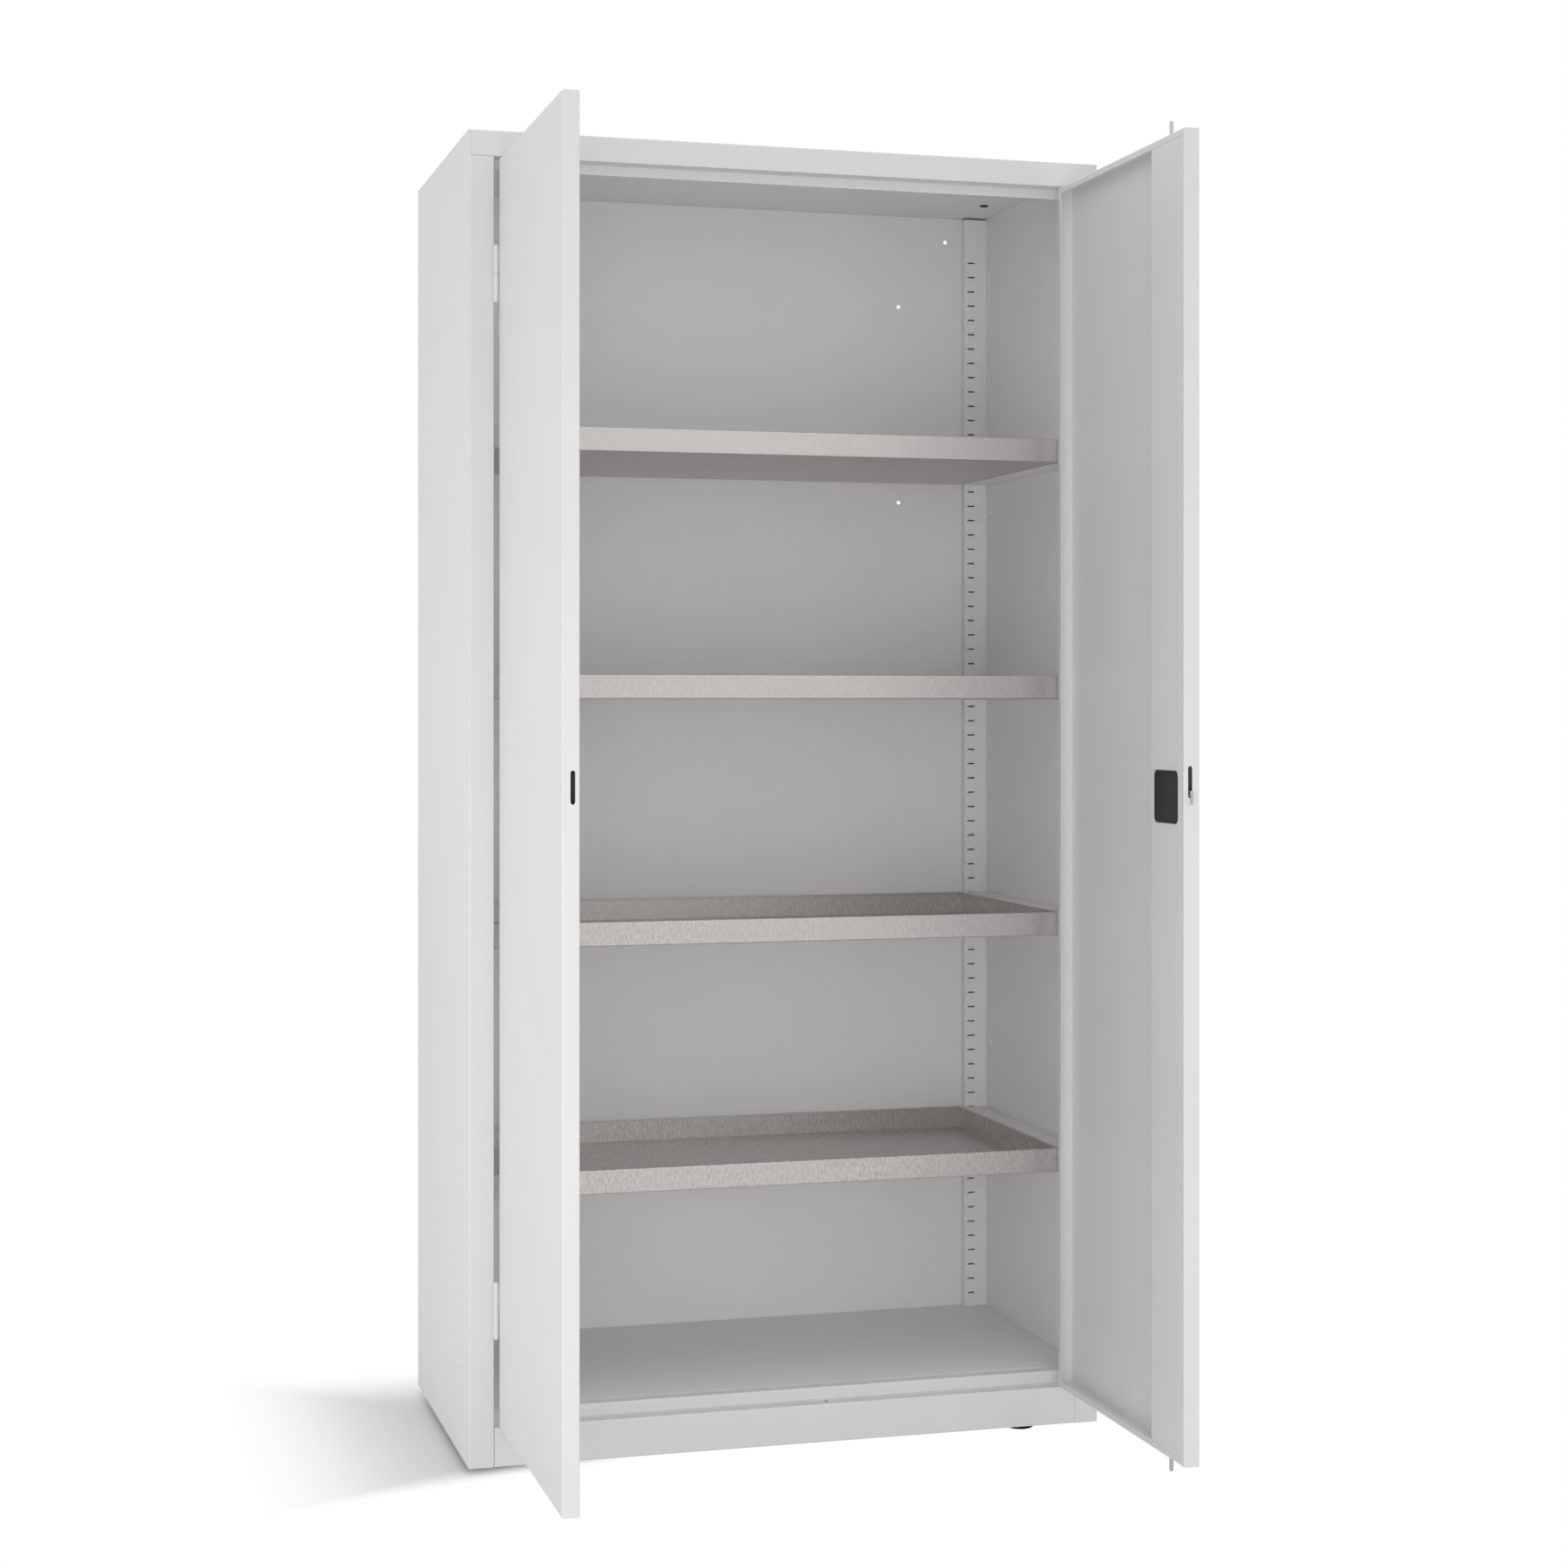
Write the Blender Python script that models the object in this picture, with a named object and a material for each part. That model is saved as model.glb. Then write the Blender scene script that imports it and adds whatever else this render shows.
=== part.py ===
# Multipurpose cabinet: a sheet-steel cupboard with two inset doors and four tray shelves.
# Metres, +Z up. The doors stand open at a right angle, as they are photographed. X runs across
# the cabinet, +Y runs from the front to the back, and z is zero at the bottom of the feet.

import math

import bmesh
import bpy
from mathutils import Matrix, Vector

# Carcass
CABINET_WIDTH = 1.000
CABINET_DEPTH = 0.500
BODY_HEIGHT = 1.980
FOOT_DROP = 0.011
SHEET = 0.001
FIT_GAP = 0.0003
OUTER_BEND = 0.002
INNER_BEND = 0.0016
BEND_STEPS = 2
PAN_BEND_STEPS = 3
CUT_OVERRUN = 0.004

# Front frame: stiles, header and plinth
STILE_WIDTH = 0.038
STILE_DEPTH = 0.033
CORNER_STRIP = 0.0025
HEADER_HEIGHT = 0.038
LEDGE_DEPTH = 0.032
STOP_LIP_HEIGHT = 0.014
PLINTH_HEIGHT = 0.0585
PLINTH_RETURN = 0.015
FLOOR_HEIGHT = 0.076
REAR_RETURN = 0.020
ROOF_REAR_RETURN = 0.015

# Perforated uprights and the pitch at which shelves hang
UPRIGHT_WIDTH = 0.0415
UPRIGHT_SETBACK = 0.018
UPRIGHT_TOP_GAP = 0.003
SLOT_PITCH = 0.025
SLOT_WIDTH = 0.012
SLOT_HEIGHT = 0.0026
SLOT_INSET = 0.0245
FIRST_SLOT_RISE = 0.024
LAST_SLOT_DROP = 0.080

# Shelves and their side rails
LOWEST_SHELF_PITCHES = 13
SHELF_SPACING_SHARE = 0.19
SHELF_COUNT = 4
TRAY_WALL = 0.0012
TRAY_HEIGHT = 0.0367
TRAY_SIDE_MARGIN = 0.044
TRAY_FRONT_SETBACK = 0.042
TRAY_REAR_SETBACK = 0.0055
TRAY_HEM = 0.006
TRAY_BEND = 0.002
RAIL_SHEET = 0.001
RAIL_LIP = 0.0048
RAIL_LIP_TAPER = 0.010
RAIL_TAB_WIDTH = 0.009
RAIL_TAB_HEIGHT = 0.0016
RAIL_TAB_REACH = 0.0035
RAIL_TAB_PITCHES = 1

# Base rails and levelling feet
BASE_RAIL_WIDTH = 0.050
BASE_RAIL_DROP = 0.030
BASE_RAIL_SHEET = 0.002
FOOT_INSET = 0.114
FOOT_SETBACK = 0.045
FOOT_RADIUS = 0.022
FOOT_PAD_HEIGHT = 0.006
FOOT_NECK_RADIUS = 0.008
FOOT_HEX_HEIGHT = 0.007
FOOT_STUD_RADIUS = 0.005
FOOT_STUD_RISE = 0.010
ROUND_STEPS = 12

# Round holes in the panels, and the plugs of the roof
SIDE_HOLE_RADIUS = 0.002
SIDE_HOLE_FRONT_SETBACK = 0.063
SIDE_HOLE_REAR_SETBACK = 0.463
SIDE_HOLE_STEPS = 6
BACK_HOLE_RADIUS = 0.0035
BACK_HOLE_STEPS = 10
FLOOR_HOLE_RADIUS = 0.002
ROD_HOLE_CLEARANCE = 0.001
ROOF_PLUG_RADIUS = 0.007
ROOF_PLUG_FLANGE = 0.002
ROOF_PLUG_SIDE_INSET = 0.052
ROOF_PLUG_SETBACK = 0.362
ROOF_PLUG_RISE = 0.0012
ROOF_PLUG_DEPTH = 0.003

# Doors
DOOR_THICKNESS = 0.024
DOOR_SIDE_GAP = 0.0035
DOOR_CENTRE_GAP = 0.002
DOOR_TOP_GAP = 0.004
DOOR_BOTTOM_GAP = 0.0035
DOOR_LIP = 0.010
DOOR_HINGE_LIP = 0.012
DOOR_CLOSING_LIP = 0.003
DOOR_BEND = 0.0022

# Hinges: a barrel in two halves, lifted apart upwards
HINGE_RADIUS = 0.004
HINGE_AXIS_IN_GAP = 0.002
HINGE_AXIS_PROUD = 0.0045
HINGE_LENGTH = 0.086
HINGE_END_LENGTH = 0.004
HINGE_END_SHARES = ((0.55, 0.9), (0.87, 0.5))
HINGE_LEAF = 0.0018
HINGE_LEAF_REACH = 0.020
HINGE_PIN_RADIUS = 0.002
HINGE_PIN_RISE = 0.030
HINGE_BORE_CLEARANCE = 0.0003
HINGE_END_INSET = 0.1705
HINGE_STEPS = 10

# Door stiffener and the tab slots along its bend
STIFFENER_WIDTH = 0.110
STIFFENER_FOOT = 0.012
STIFFENER_SLOT_HEIGHT = 0.011
STIFFENER_SLOT_WIDTH = 0.003
STIFFENER_SLOT_SHARES = (0.0400, 0.1860, 0.3332, 0.3641, 0.5101, 0.6567, 0.6871, 0.8342, 0.9803)

# Three-point lock in the right door
LOCK_SHARE = 0.4995
LOCK_CASE_WIDTH = 0.078
LOCK_CASE_HEIGHT = 0.090
LOCK_CASE_INSET = 0.024
LOCK_CASE_BACKSET = 0.004
LOCK_PLATE_THICKNESS = 0.0012
LOCK_PLATE_MARGIN = 0.004
LOCK_COVER_WIDTH = 0.077
LOCK_COVER_HEIGHT = 0.074
LOCK_COVER_INSET = 0.021
LOCK_COVER_THICKNESS = 0.0018
LOCK_COVER_CORNER = 0.008
LOCK_COVER_CHAMFER = 0.0006
LOCK_COVER_REVEAL = 0.0012
ROD_RADIUS = 0.003
ROD_INSET = 0.057
ROD_DEPTH = 0.0165
ROD_THROW = 0.0208
ROD_GRIP = 0.020
ROD_CLEARANCE = 0.0003
ROD_TIP_TAPER = 0.002
ROD_GUIDE_WIDTH = 0.020
ROD_GUIDE_HEIGHT = 0.025
ROD_GUIDE_SETBACK = 0.020

# Handle on the right door's outer face
HANDLE_INSET = 0.084
HANDLE_ROSE_RADIUS = 0.021
HANDLE_ROSE_THICKNESS = 0.003
HANDLE_ROSE_STEPS = 20
HANDLE_HUB_RADIUS = 0.011
HANDLE_PROUD = 0.017
HANDLE_LEVER_LENGTH = 0.095
HANDLE_LEVER_WIDTH = 0.024
HANDLE_TIP_WIDTH = 0.016
HANDLE_LEVER_THICKNESS = 0.008
HANDLE_LEVER_EDGE = 0.0015
HANDLE_LEVER_STEPS = 6
HANDLE_SPINDLE_RADIUS = 0.004
HANDLE_SPINDLE_GRIP = 0.005
HANDLE_CLEARANCE = 0.0004

# Hook latch on the right door's closing edge, and the slots in both closing edges
EDGE_SLOT_WIDTH = 0.0065
EDGE_SLOT_HEIGHT = 0.0455
EDGE_SLOT_DROP = 0.0004
EDGE_SLOT_DEPTH = 0.0145
HOOK_PIVOT_INSET = 0.008
HOOK_PIVOT_RISE = 0.0054
HOOK_THICKNESS = 0.003
HOOK_BOSS_RADIUS = 0.005
HOOK_BAR_TOP = 0.005
HOOK_BAR_BOTTOM = 0.003
HOOK_PROUD = 0.0075
HOOK_BEAK = 0.003
HOOK_BEAK_DROP = 0.014
HOOK_PIN_RADIUS = 0.002
HOOK_BRACKET_SHEET = 0.0015
HOOK_BRACKET_HEIGHT = 0.011
HOOK_BRACKET_REACH = 0.0135
HOOK_SIDE_CLEARANCE = 0.0008

# Holes that the panels carry, as shares of the body's height, or of its width and height
SIDE_HOLE_FRONT_SHARES = (0.0692, 0.1828, 0.3596, 0.5535, 0.7379)
SIDE_HOLE_REAR_SHARES = (0.0697, 0.2727, 0.3596, 0.7384)
BACK_HOLE_SHARES = ((0.073, 0.9783), (0.159, 0.9197), (0.159, 0.7475))
FLOOR_HOLE_SHARES = ((0.034, 0.265), (0.033, 0.770))

# Places that follow from the sizes above
HALF_WIDTH = CABINET_WIDTH / 2
DOOR_AXIS_X = HALF_WIDTH - STILE_WIDTH - HINGE_AXIS_IN_GAP
DOOR_NEAR = DOOR_SIDE_GAP - HINGE_AXIS_IN_GAP
DOOR_FAR = DOOR_AXIS_X - DOOR_CENTRE_GAP / 2
OPEN_REACH = HINGE_AXIS_PROUD + DOOR_FAR + HOOK_PROUD
FRONT_Y = -(CABINET_DEPTH - OPEN_REACH) / 2
BACK_Y = FRONT_Y + CABINET_DEPTH
BASE_Z = FOOT_DROP
BODY_TOP = BASE_Z + BODY_HEIGHT
HEADER_Z = BODY_TOP - HEADER_HEIGHT
PLINTH_Z = BASE_Z + PLINTH_HEIGHT
FLOOR_Z = BASE_Z + FLOOR_HEIGHT
ROOF_UNDERSIDE = BODY_TOP - SHEET
BACK_FACE_Y = BACK_Y - SHEET * 2 - FIT_GAP
UPRIGHT_FACE_Y = BACK_Y - UPRIGHT_SETBACK
STILE_BACK_Y = FRONT_Y + STILE_DEPTH
DOOR_BOTTOM = PLINTH_Z + DOOR_BOTTOM_GAP
DOOR_TOP = HEADER_Z - DOOR_TOP_GAP
DOOR_HEIGHT = DOOR_TOP - DOOR_BOTTOM
LOCK_Z = DOOR_BOTTOM + DOOR_HEIGHT * LOCK_SHARE
EDGE_SLOT_Z = LOCK_Z - EDGE_SLOT_DROP
HINGE_SPLITS = {"lower": DOOR_BOTTOM + HINGE_END_INSET, "upper": DOOR_TOP - HINGE_END_INSET}
FIRST_SLOT_Z = FLOOR_Z + FIRST_SLOT_RISE
SLOT_COUNT = math.floor((BODY_TOP - LAST_SLOT_DROP + FIT_GAP - FIRST_SLOT_Z) / SLOT_PITCH) + 1
SHELF_PITCHES = math.floor(BODY_HEIGHT * SHELF_SPACING_SHARE / SLOT_PITCH)
AXIS_Y = FRONT_Y - HINGE_AXIS_PROUD
OUTER_FACE = HINGE_AXIS_PROUD
LIP_FACE = OUTER_FACE + DOOR_THICKNESS
WEB_BACK = LIP_FACE - SHEET
SIDES = {"left": -1, "right": 1}


def material(name, colour, roughness, metallic):
    """One Principled material for one sub-part."""
    made = bpy.data.materials.new(name)
    made.use_nodes = True
    shader = made.node_tree.nodes["Principled BSDF"]
    shader.inputs["Base Color"].default_value = (*colour, 1.0)
    shader.inputs["Roughness"].default_value = roughness
    shader.inputs["Metallic"].default_value = metallic
    return made


GREY_COLOUR = (0.62, 0.62, 0.62)
ZINC_COLOUR = (0.52, 0.50, 0.48)
STEEL_COLOUR = (0.60, 0.60, 0.60)
BLACK_COLOUR = (0.035, 0.033, 0.033)
PAINT_FINISH = (0.45, 0.0)
METAL_FINISH = (0.35, 1.0)
PLASTIC_FINISH = (0.5, 0.0)


def add_solid(name, bm, colour, finish, parent=None, place=(0, 0, 0)):
    """Turn a closed bmesh into a named object with its own material."""
    bmesh.ops.recalc_face_normals(bm, faces=bm.faces[:])
    mesh = bpy.data.meshes.new(name)
    bm.to_mesh(mesh)
    bm.free()
    return place_mesh(name, mesh, colour, finish, parent, place)


def place_mesh(name, mesh, colour, finish, parent=None, place=(0, 0, 0)):
    """Put a mesh, which another object may share, into the scene under its own name."""
    solid = bpy.data.objects.new(name, mesh)
    bpy.context.scene.collection.objects.link(solid)
    if not mesh.materials:
        mesh.materials.append(None)
    solid.material_slots[0].link = "OBJECT"
    solid.material_slots[0].material = material(name, colour, *finish)
    solid.parent = parent
    solid.location = place
    return solid


def add_pivot(name, place, turn=0.0):
    """An empty that carries a moving group, on its joint's axis."""
    pivot = bpy.data.objects.new(name, None)
    bpy.context.scene.collection.objects.link(pivot)
    pivot.location = place
    pivot.rotation_euler = (0.0, 0.0, turn)
    return pivot


def combine(solid, tool_mesh, operation):
    """Join a closed tool to a solid, or cut it away, with an exact Boolean."""
    tool = bpy.data.objects.new(solid.name + "_" + operation.lower(), tool_mesh)
    bpy.context.scene.collection.objects.link(tool)
    tool.parent = solid.parent
    tool.location = solid.location
    tool.hide_render = True
    tool.display_type = "WIRE"
    step = solid.modifiers.new(operation.title(), "BOOLEAN")
    step.operation = operation
    step.solver = "EXACT"
    step.object = tool
    return solid


def finished_mesh(bm, name):
    """A mesh with its faces turned outwards."""
    bmesh.ops.recalc_face_normals(bm, faces=bm.faces[:])
    mesh = bpy.data.meshes.new(name)
    bm.to_mesh(mesh)
    bm.free()
    return mesh


def cut(solid, bm):
    return combine(solid, finished_mesh(bm, solid.name + "_cutter"), "DIFFERENCE")


def join(solid, bm):
    return combine(solid, finished_mesh(bm, solid.name + "_joined"), "UNION")


def add_box(bm, low, high):
    """A box between two corners, in any order."""
    spans = [sorted(pair) for pair in zip(low, high)]
    size = [span[1] - span[0] for span in spans]
    middle = [(span[1] + span[0]) / 2 for span in spans]
    shape = Matrix.Translation(middle) @ Matrix.Diagonal((*size, 1.0))
    bmesh.ops.create_cube(bm, size=1.0, matrix=shape)
    return bm


def add_layers(bm, layers, axis):
    """A closed body through outlines of equal length, each with its level along axis 0, 1 or 2.

    An outline holds the other two coordinates, in order.
    """
    rings = []
    for outline, level in layers:
        ring = []
        for point in outline:
            coords = list(point)
            coords.insert(axis, level)
            ring.append(bm.verts.new(coords))
        rings.append(ring)
    bm.faces.new(rings[0])
    bm.faces.new(rings[-1])
    for one, two in zip(rings, rings[1:]):
        for index in range(len(one)):
            following = (index + 1) % len(one)
            bm.faces.new((one[index], one[following], two[following], two[index]))
    return bm


def add_prism(bm, outline, axis, low, high):
    """Extrude a closed outline along axis 0, 1 or 2."""
    return add_layers(bm, ((outline, low), (outline, high)), axis)


def circle(centre, radius, steps, start=0.0):
    """Points round a circle."""
    return [(centre[0] + radius * math.cos(start + math.tau * step / steps),
             centre[1] + radius * math.sin(start + math.tau * step / steps))
            for step in range(steps)]


def stadium(low, high, steps):
    """A vertical slot with round ends, from its low and high corners in plane coordinates."""
    radius = (high[0] - low[0]) / 2
    middle = (high[0] + low[0]) / 2
    points = []
    for centre, start in ((high[1] - radius, 0.0), (low[1] + radius, math.pi)):
        for step in range(steps + 1):
            angle = start + math.pi * step / steps
            points.append((middle + radius * math.cos(angle), centre + radius * math.sin(angle)))
    return points


def rounded_rectangle(low, high, radius, steps):
    """A rectangle with round corners."""
    centres = ((high[0] - radius, high[1] - radius), (low[0] + radius, high[1] - radius),
               (low[0] + radius, low[1] + radius), (high[0] - radius, low[1] + radius))
    points = []
    for quarter, centre in enumerate(centres):
        for step in range(steps + 1):
            angle = math.pi / 2 * (quarter + step / steps)
            points.append((centre[0] + radius * math.cos(angle),
                           centre[1] + radius * math.sin(angle)))
    return points


def folded_outline(points, thickness, radii):
    """The closed section of a folded sheet whose outer face follows the points, bends rounded.

    The sheet lies on the left of the line as it runs. Every bend has its own outer radius when
    the sheet lies inside the bend, and the radius less the sheet when it lies outside.
    """
    line = [Vector(point) for point in points]
    outer = [line[0]]
    inner = []
    first = (line[1] - line[0]).normalized()
    inner.append(line[0] + Vector((-first.y, first.x)) * thickness)
    for index in range(1, len(line) - 1):
        corner = line[index]
        before = (corner - line[index - 1]).normalized()
        after = (line[index + 1] - corner).normalized()
        turn = before.x * after.y - before.y * after.x
        normal = Vector((-before.y, before.x)) * (1 if turn > 0 else -1)
        radius = radii[index - 1]
        centre = corner - before * radius + normal * radius
        sweep = math.pi / 2
        near = radius - thickness if turn > 0 else radius + thickness
        for step in range(BEND_STEPS + 1):
            angle = sweep * step / BEND_STEPS
            ray = -normal * math.cos(angle) + before * math.sin(angle)
            outer.append(centre + ray * radius)
            inner.append(centre + ray * near)
    last = (line[-1] - line[-2]).normalized()
    outer.append(line[-1])
    inner.append(line[-1] + Vector((-last.y, last.x)) * thickness)
    return [tuple(point) for point in outer + inner[::-1]]


def add_pan(bm, low, high, level, rise, wall, bend, lips):
    """A folded sheet pan: a flat face at a level, flanges that rise, and lips turned inwards.

    low and high are the face's corners in the plane of axes 0 and 2, and rise is signed along
    axis 1. The section runs from the face round the outer bend, up the flange, over the lip and
    back down the inside. lips gives the lip width on the low, high, bottom and top sides.
    """
    way = 1 if rise > 0 else -1
    top = abs(rise)
    section = []
    for step in range(PAN_BEND_STEPS + 1):
        angle = math.pi / 2 * step / PAN_BEND_STEPS
        section.append((bend * (1 - math.sin(angle)), bend * (1 - math.cos(angle)), 0))
    if any(lips):
        for step in range(PAN_BEND_STEPS + 1):
            angle = math.pi / 2 * step / PAN_BEND_STEPS
            section.append((bend * (1 - math.cos(angle)), top - bend * (1 - math.sin(angle)), 0))
        section.append((0.0, top, 1))
        section.append((0.0, top - wall, 1))
        for step in range(PAN_BEND_STEPS, -1, -1):
            angle = math.pi / 2 * step / PAN_BEND_STEPS
            hollow = bend - wall
            section.append((wall + hollow * (1 - math.cos(angle)),
                            top - wall - hollow * (1 - math.sin(angle)), 0))
    else:
        section.append((0.0, top, 0))
        section.append((wall, top, 0))
    for step in range(PAN_BEND_STEPS, -1, -1):
        angle = math.pi / 2 * step / PAN_BEND_STEPS
        hollow = bend - wall
        section.append((wall + hollow * (1 - math.sin(angle)),
                        wall + hollow * (1 - math.cos(angle)), 0))
    loops = []
    for inset, height, on_lip in section:
        reach = [inset + (lip if on_lip else 0.0) for lip in lips]
        depth = level + way * height
        loops.append([bm.verts.new(point) for point in (
            (low[0] + reach[0], depth, low[1] + reach[2]),
            (high[0] - reach[1], depth, low[1] + reach[2]),
            (high[0] - reach[1], depth, high[1] - reach[3]),
            (low[0] + reach[0], depth, high[1] - reach[3]))])
    for one, two in zip(loops, loops[1:]):
        for index in range(len(one)):
            following = (index + 1) % len(one)
            bm.faces.new((one[index], one[following], two[following], two[index]))
    bm.faces.new(loops[0])
    bm.faces.new(loops[-1])
    return bm


def add_turned(bm, profile, steps, place=(0, 0)):
    """A solid turned round the Z axis from (radius, height) points, from bottom to top."""
    rings = []
    for radius, height in profile:
        if radius == 0:
            rings.append([bm.verts.new((place[0], place[1], height))])
        else:
            rings.append([bm.verts.new((x, y, height)) for x, y in circle(place, radius, steps)])
    for one, two in zip(rings, rings[1:]):
        for index in range(steps):
            following = (index + 1) % steps
            if len(one) == 1:
                bm.faces.new((one[0], two[index], two[following]))
            elif len(two) == 1:
                bm.faces.new((one[index], one[following], two[0]))
            else:
                bm.faces.new((one[index], one[following], two[following], two[index]))
    return bm


def smooth_round(solid, angle=math.radians(35)):
    """Shade a round piece smooth, with its edges kept sharp."""
    solid.data.shade_smooth()
    solid.data.set_sharp_from_angle(angle=angle)
    return solid


def slot_heights():
    return [FIRST_SLOT_Z + SLOT_PITCH * index for index in range(SLOT_COUNT)]


def add_slot_row(bm, side, face_y, sheet):
    """Cutters for the row of hanging slots through a sheet whose face looks into the cabinet."""
    outer = side * (HALF_WIDTH - SLOT_INSET)
    inner = outer - side * SLOT_WIDTH
    for height in slot_heights():
        add_box(bm, (outer, face_y - sheet - CUT_OVERRUN, height - SLOT_HEIGHT / 2),
                (inner, face_y + sheet + CUT_OVERRUN, height + SLOT_HEIGHT / 2))
    return bm


def build_side_panel(side_name):
    """One folded sheet: the side wall, the front stile box with its slots, and the rear return."""
    side = SIDES[side_name]
    edge = side * HALF_WIDTH
    stile_inner = edge - side * STILE_WIDTH
    hem_end = edge - side * (SHEET + FIT_GAP)
    points = [(edge - side * REAR_RETURN, BACK_Y), (edge, BACK_Y), (edge, FRONT_Y),
              (stile_inner, FRONT_Y), (stile_inner, STILE_BACK_Y), (hem_end, STILE_BACK_Y)]
    if side < 0:
        outline = folded_outline(points, SHEET, (INNER_BEND, OUTER_BEND, INNER_BEND, INNER_BEND))
    else:
        mirrored = [(-x, y) for x, y in points]
        outline = folded_outline(mirrored, SHEET, (INNER_BEND, OUTER_BEND, INNER_BEND, INNER_BEND))
        outline = [(-x, y) for x, y in outline]
    bm = bmesh.new()
    add_prism(bm, outline, 2, BASE_Z, ROOF_UNDERSIDE - FIT_GAP)
    panel = add_solid(side_name + "_side_panel", bm, GREY_COLOUR, PAINT_FINISH)
    bend_end = FRONT_Y + OUTER_BEND
    wall_inside = edge - side * (SHEET + FIT_GAP / 2)
    strip_end = edge - side * CORNER_STRIP
    above_stile = [(strip_end, FRONT_Y - CUT_OVERRUN),
                   (stile_inner - side * CUT_OVERRUN, FRONT_Y - CUT_OVERRUN),
                   (stile_inner - side * CUT_OVERRUN, STILE_BACK_Y + CUT_OVERRUN),
                   (wall_inside, STILE_BACK_Y + CUT_OVERRUN), (wall_inside, bend_end),
                   (strip_end, bend_end)]
    notch = bmesh.new()
    add_prism(notch, above_stile, 2, HEADER_Z - FIT_GAP, BODY_TOP + CUT_OVERRUN)
    cut(panel, notch)
    holes = bmesh.new()
    add_slot_row(holes, side, STILE_BACK_Y, SHEET)
    rows = ((SIDE_HOLE_FRONT_SETBACK, SIDE_HOLE_FRONT_SHARES),
            (SIDE_HOLE_REAR_SETBACK, SIDE_HOLE_REAR_SHARES))
    for setback, shares in rows:
        for share in shares:
            centre = (FRONT_Y + setback, BASE_Z + BODY_HEIGHT * share)
            hole = circle(centre, SIDE_HOLE_RADIUS, SIDE_HOLE_STEPS)
            add_prism(holes, hole, 0, edge - side * (SHEET + CUT_OVERRUN),
                      edge + side * CUT_OVERRUN)
    return cut(panel, holes)


def build_back_panel():
    """The flat back sheet, inside the side panels' rear returns, with its wall-fixing holes."""
    reach = HALF_WIDTH - SHEET - FIT_GAP
    bm = bmesh.new()
    add_box(bm, (-reach, BACK_FACE_Y, PLINTH_Z), (reach, BACK_FACE_Y + SHEET,
                                                  ROOF_UNDERSIDE - FIT_GAP))
    panel = add_solid("back_panel", bm, GREY_COLOUR, PAINT_FINISH)
    holes = bmesh.new()
    for inset_share, height_share in BACK_HOLE_SHARES:
        for side in SIDES.values():
            centre = (side * (HALF_WIDTH - CABINET_WIDTH * inset_share),
                      BASE_Z + BODY_HEIGHT * height_share)
            add_prism(holes, circle(centre, BACK_HOLE_RADIUS, BACK_HOLE_STEPS), 1,
                      BACK_FACE_Y - CUT_OVERRUN, BACK_FACE_Y + SHEET + CUT_OVERRUN)
    return cut(panel, holes)


def rod_place():
    """Where the lock rods stand when the right door is shut, as x and y."""
    return DOOR_CENTRE_GAP / 2 + ROD_INSET, FRONT_Y + ROD_DEPTH


def add_rod_hole(bm, low, high):
    hole = circle(rod_place(), ROD_RADIUS + ROD_HOLE_CLEARANCE, BACK_HOLE_STEPS)
    return add_prism(bm, hole, 2, low, high)


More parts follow.
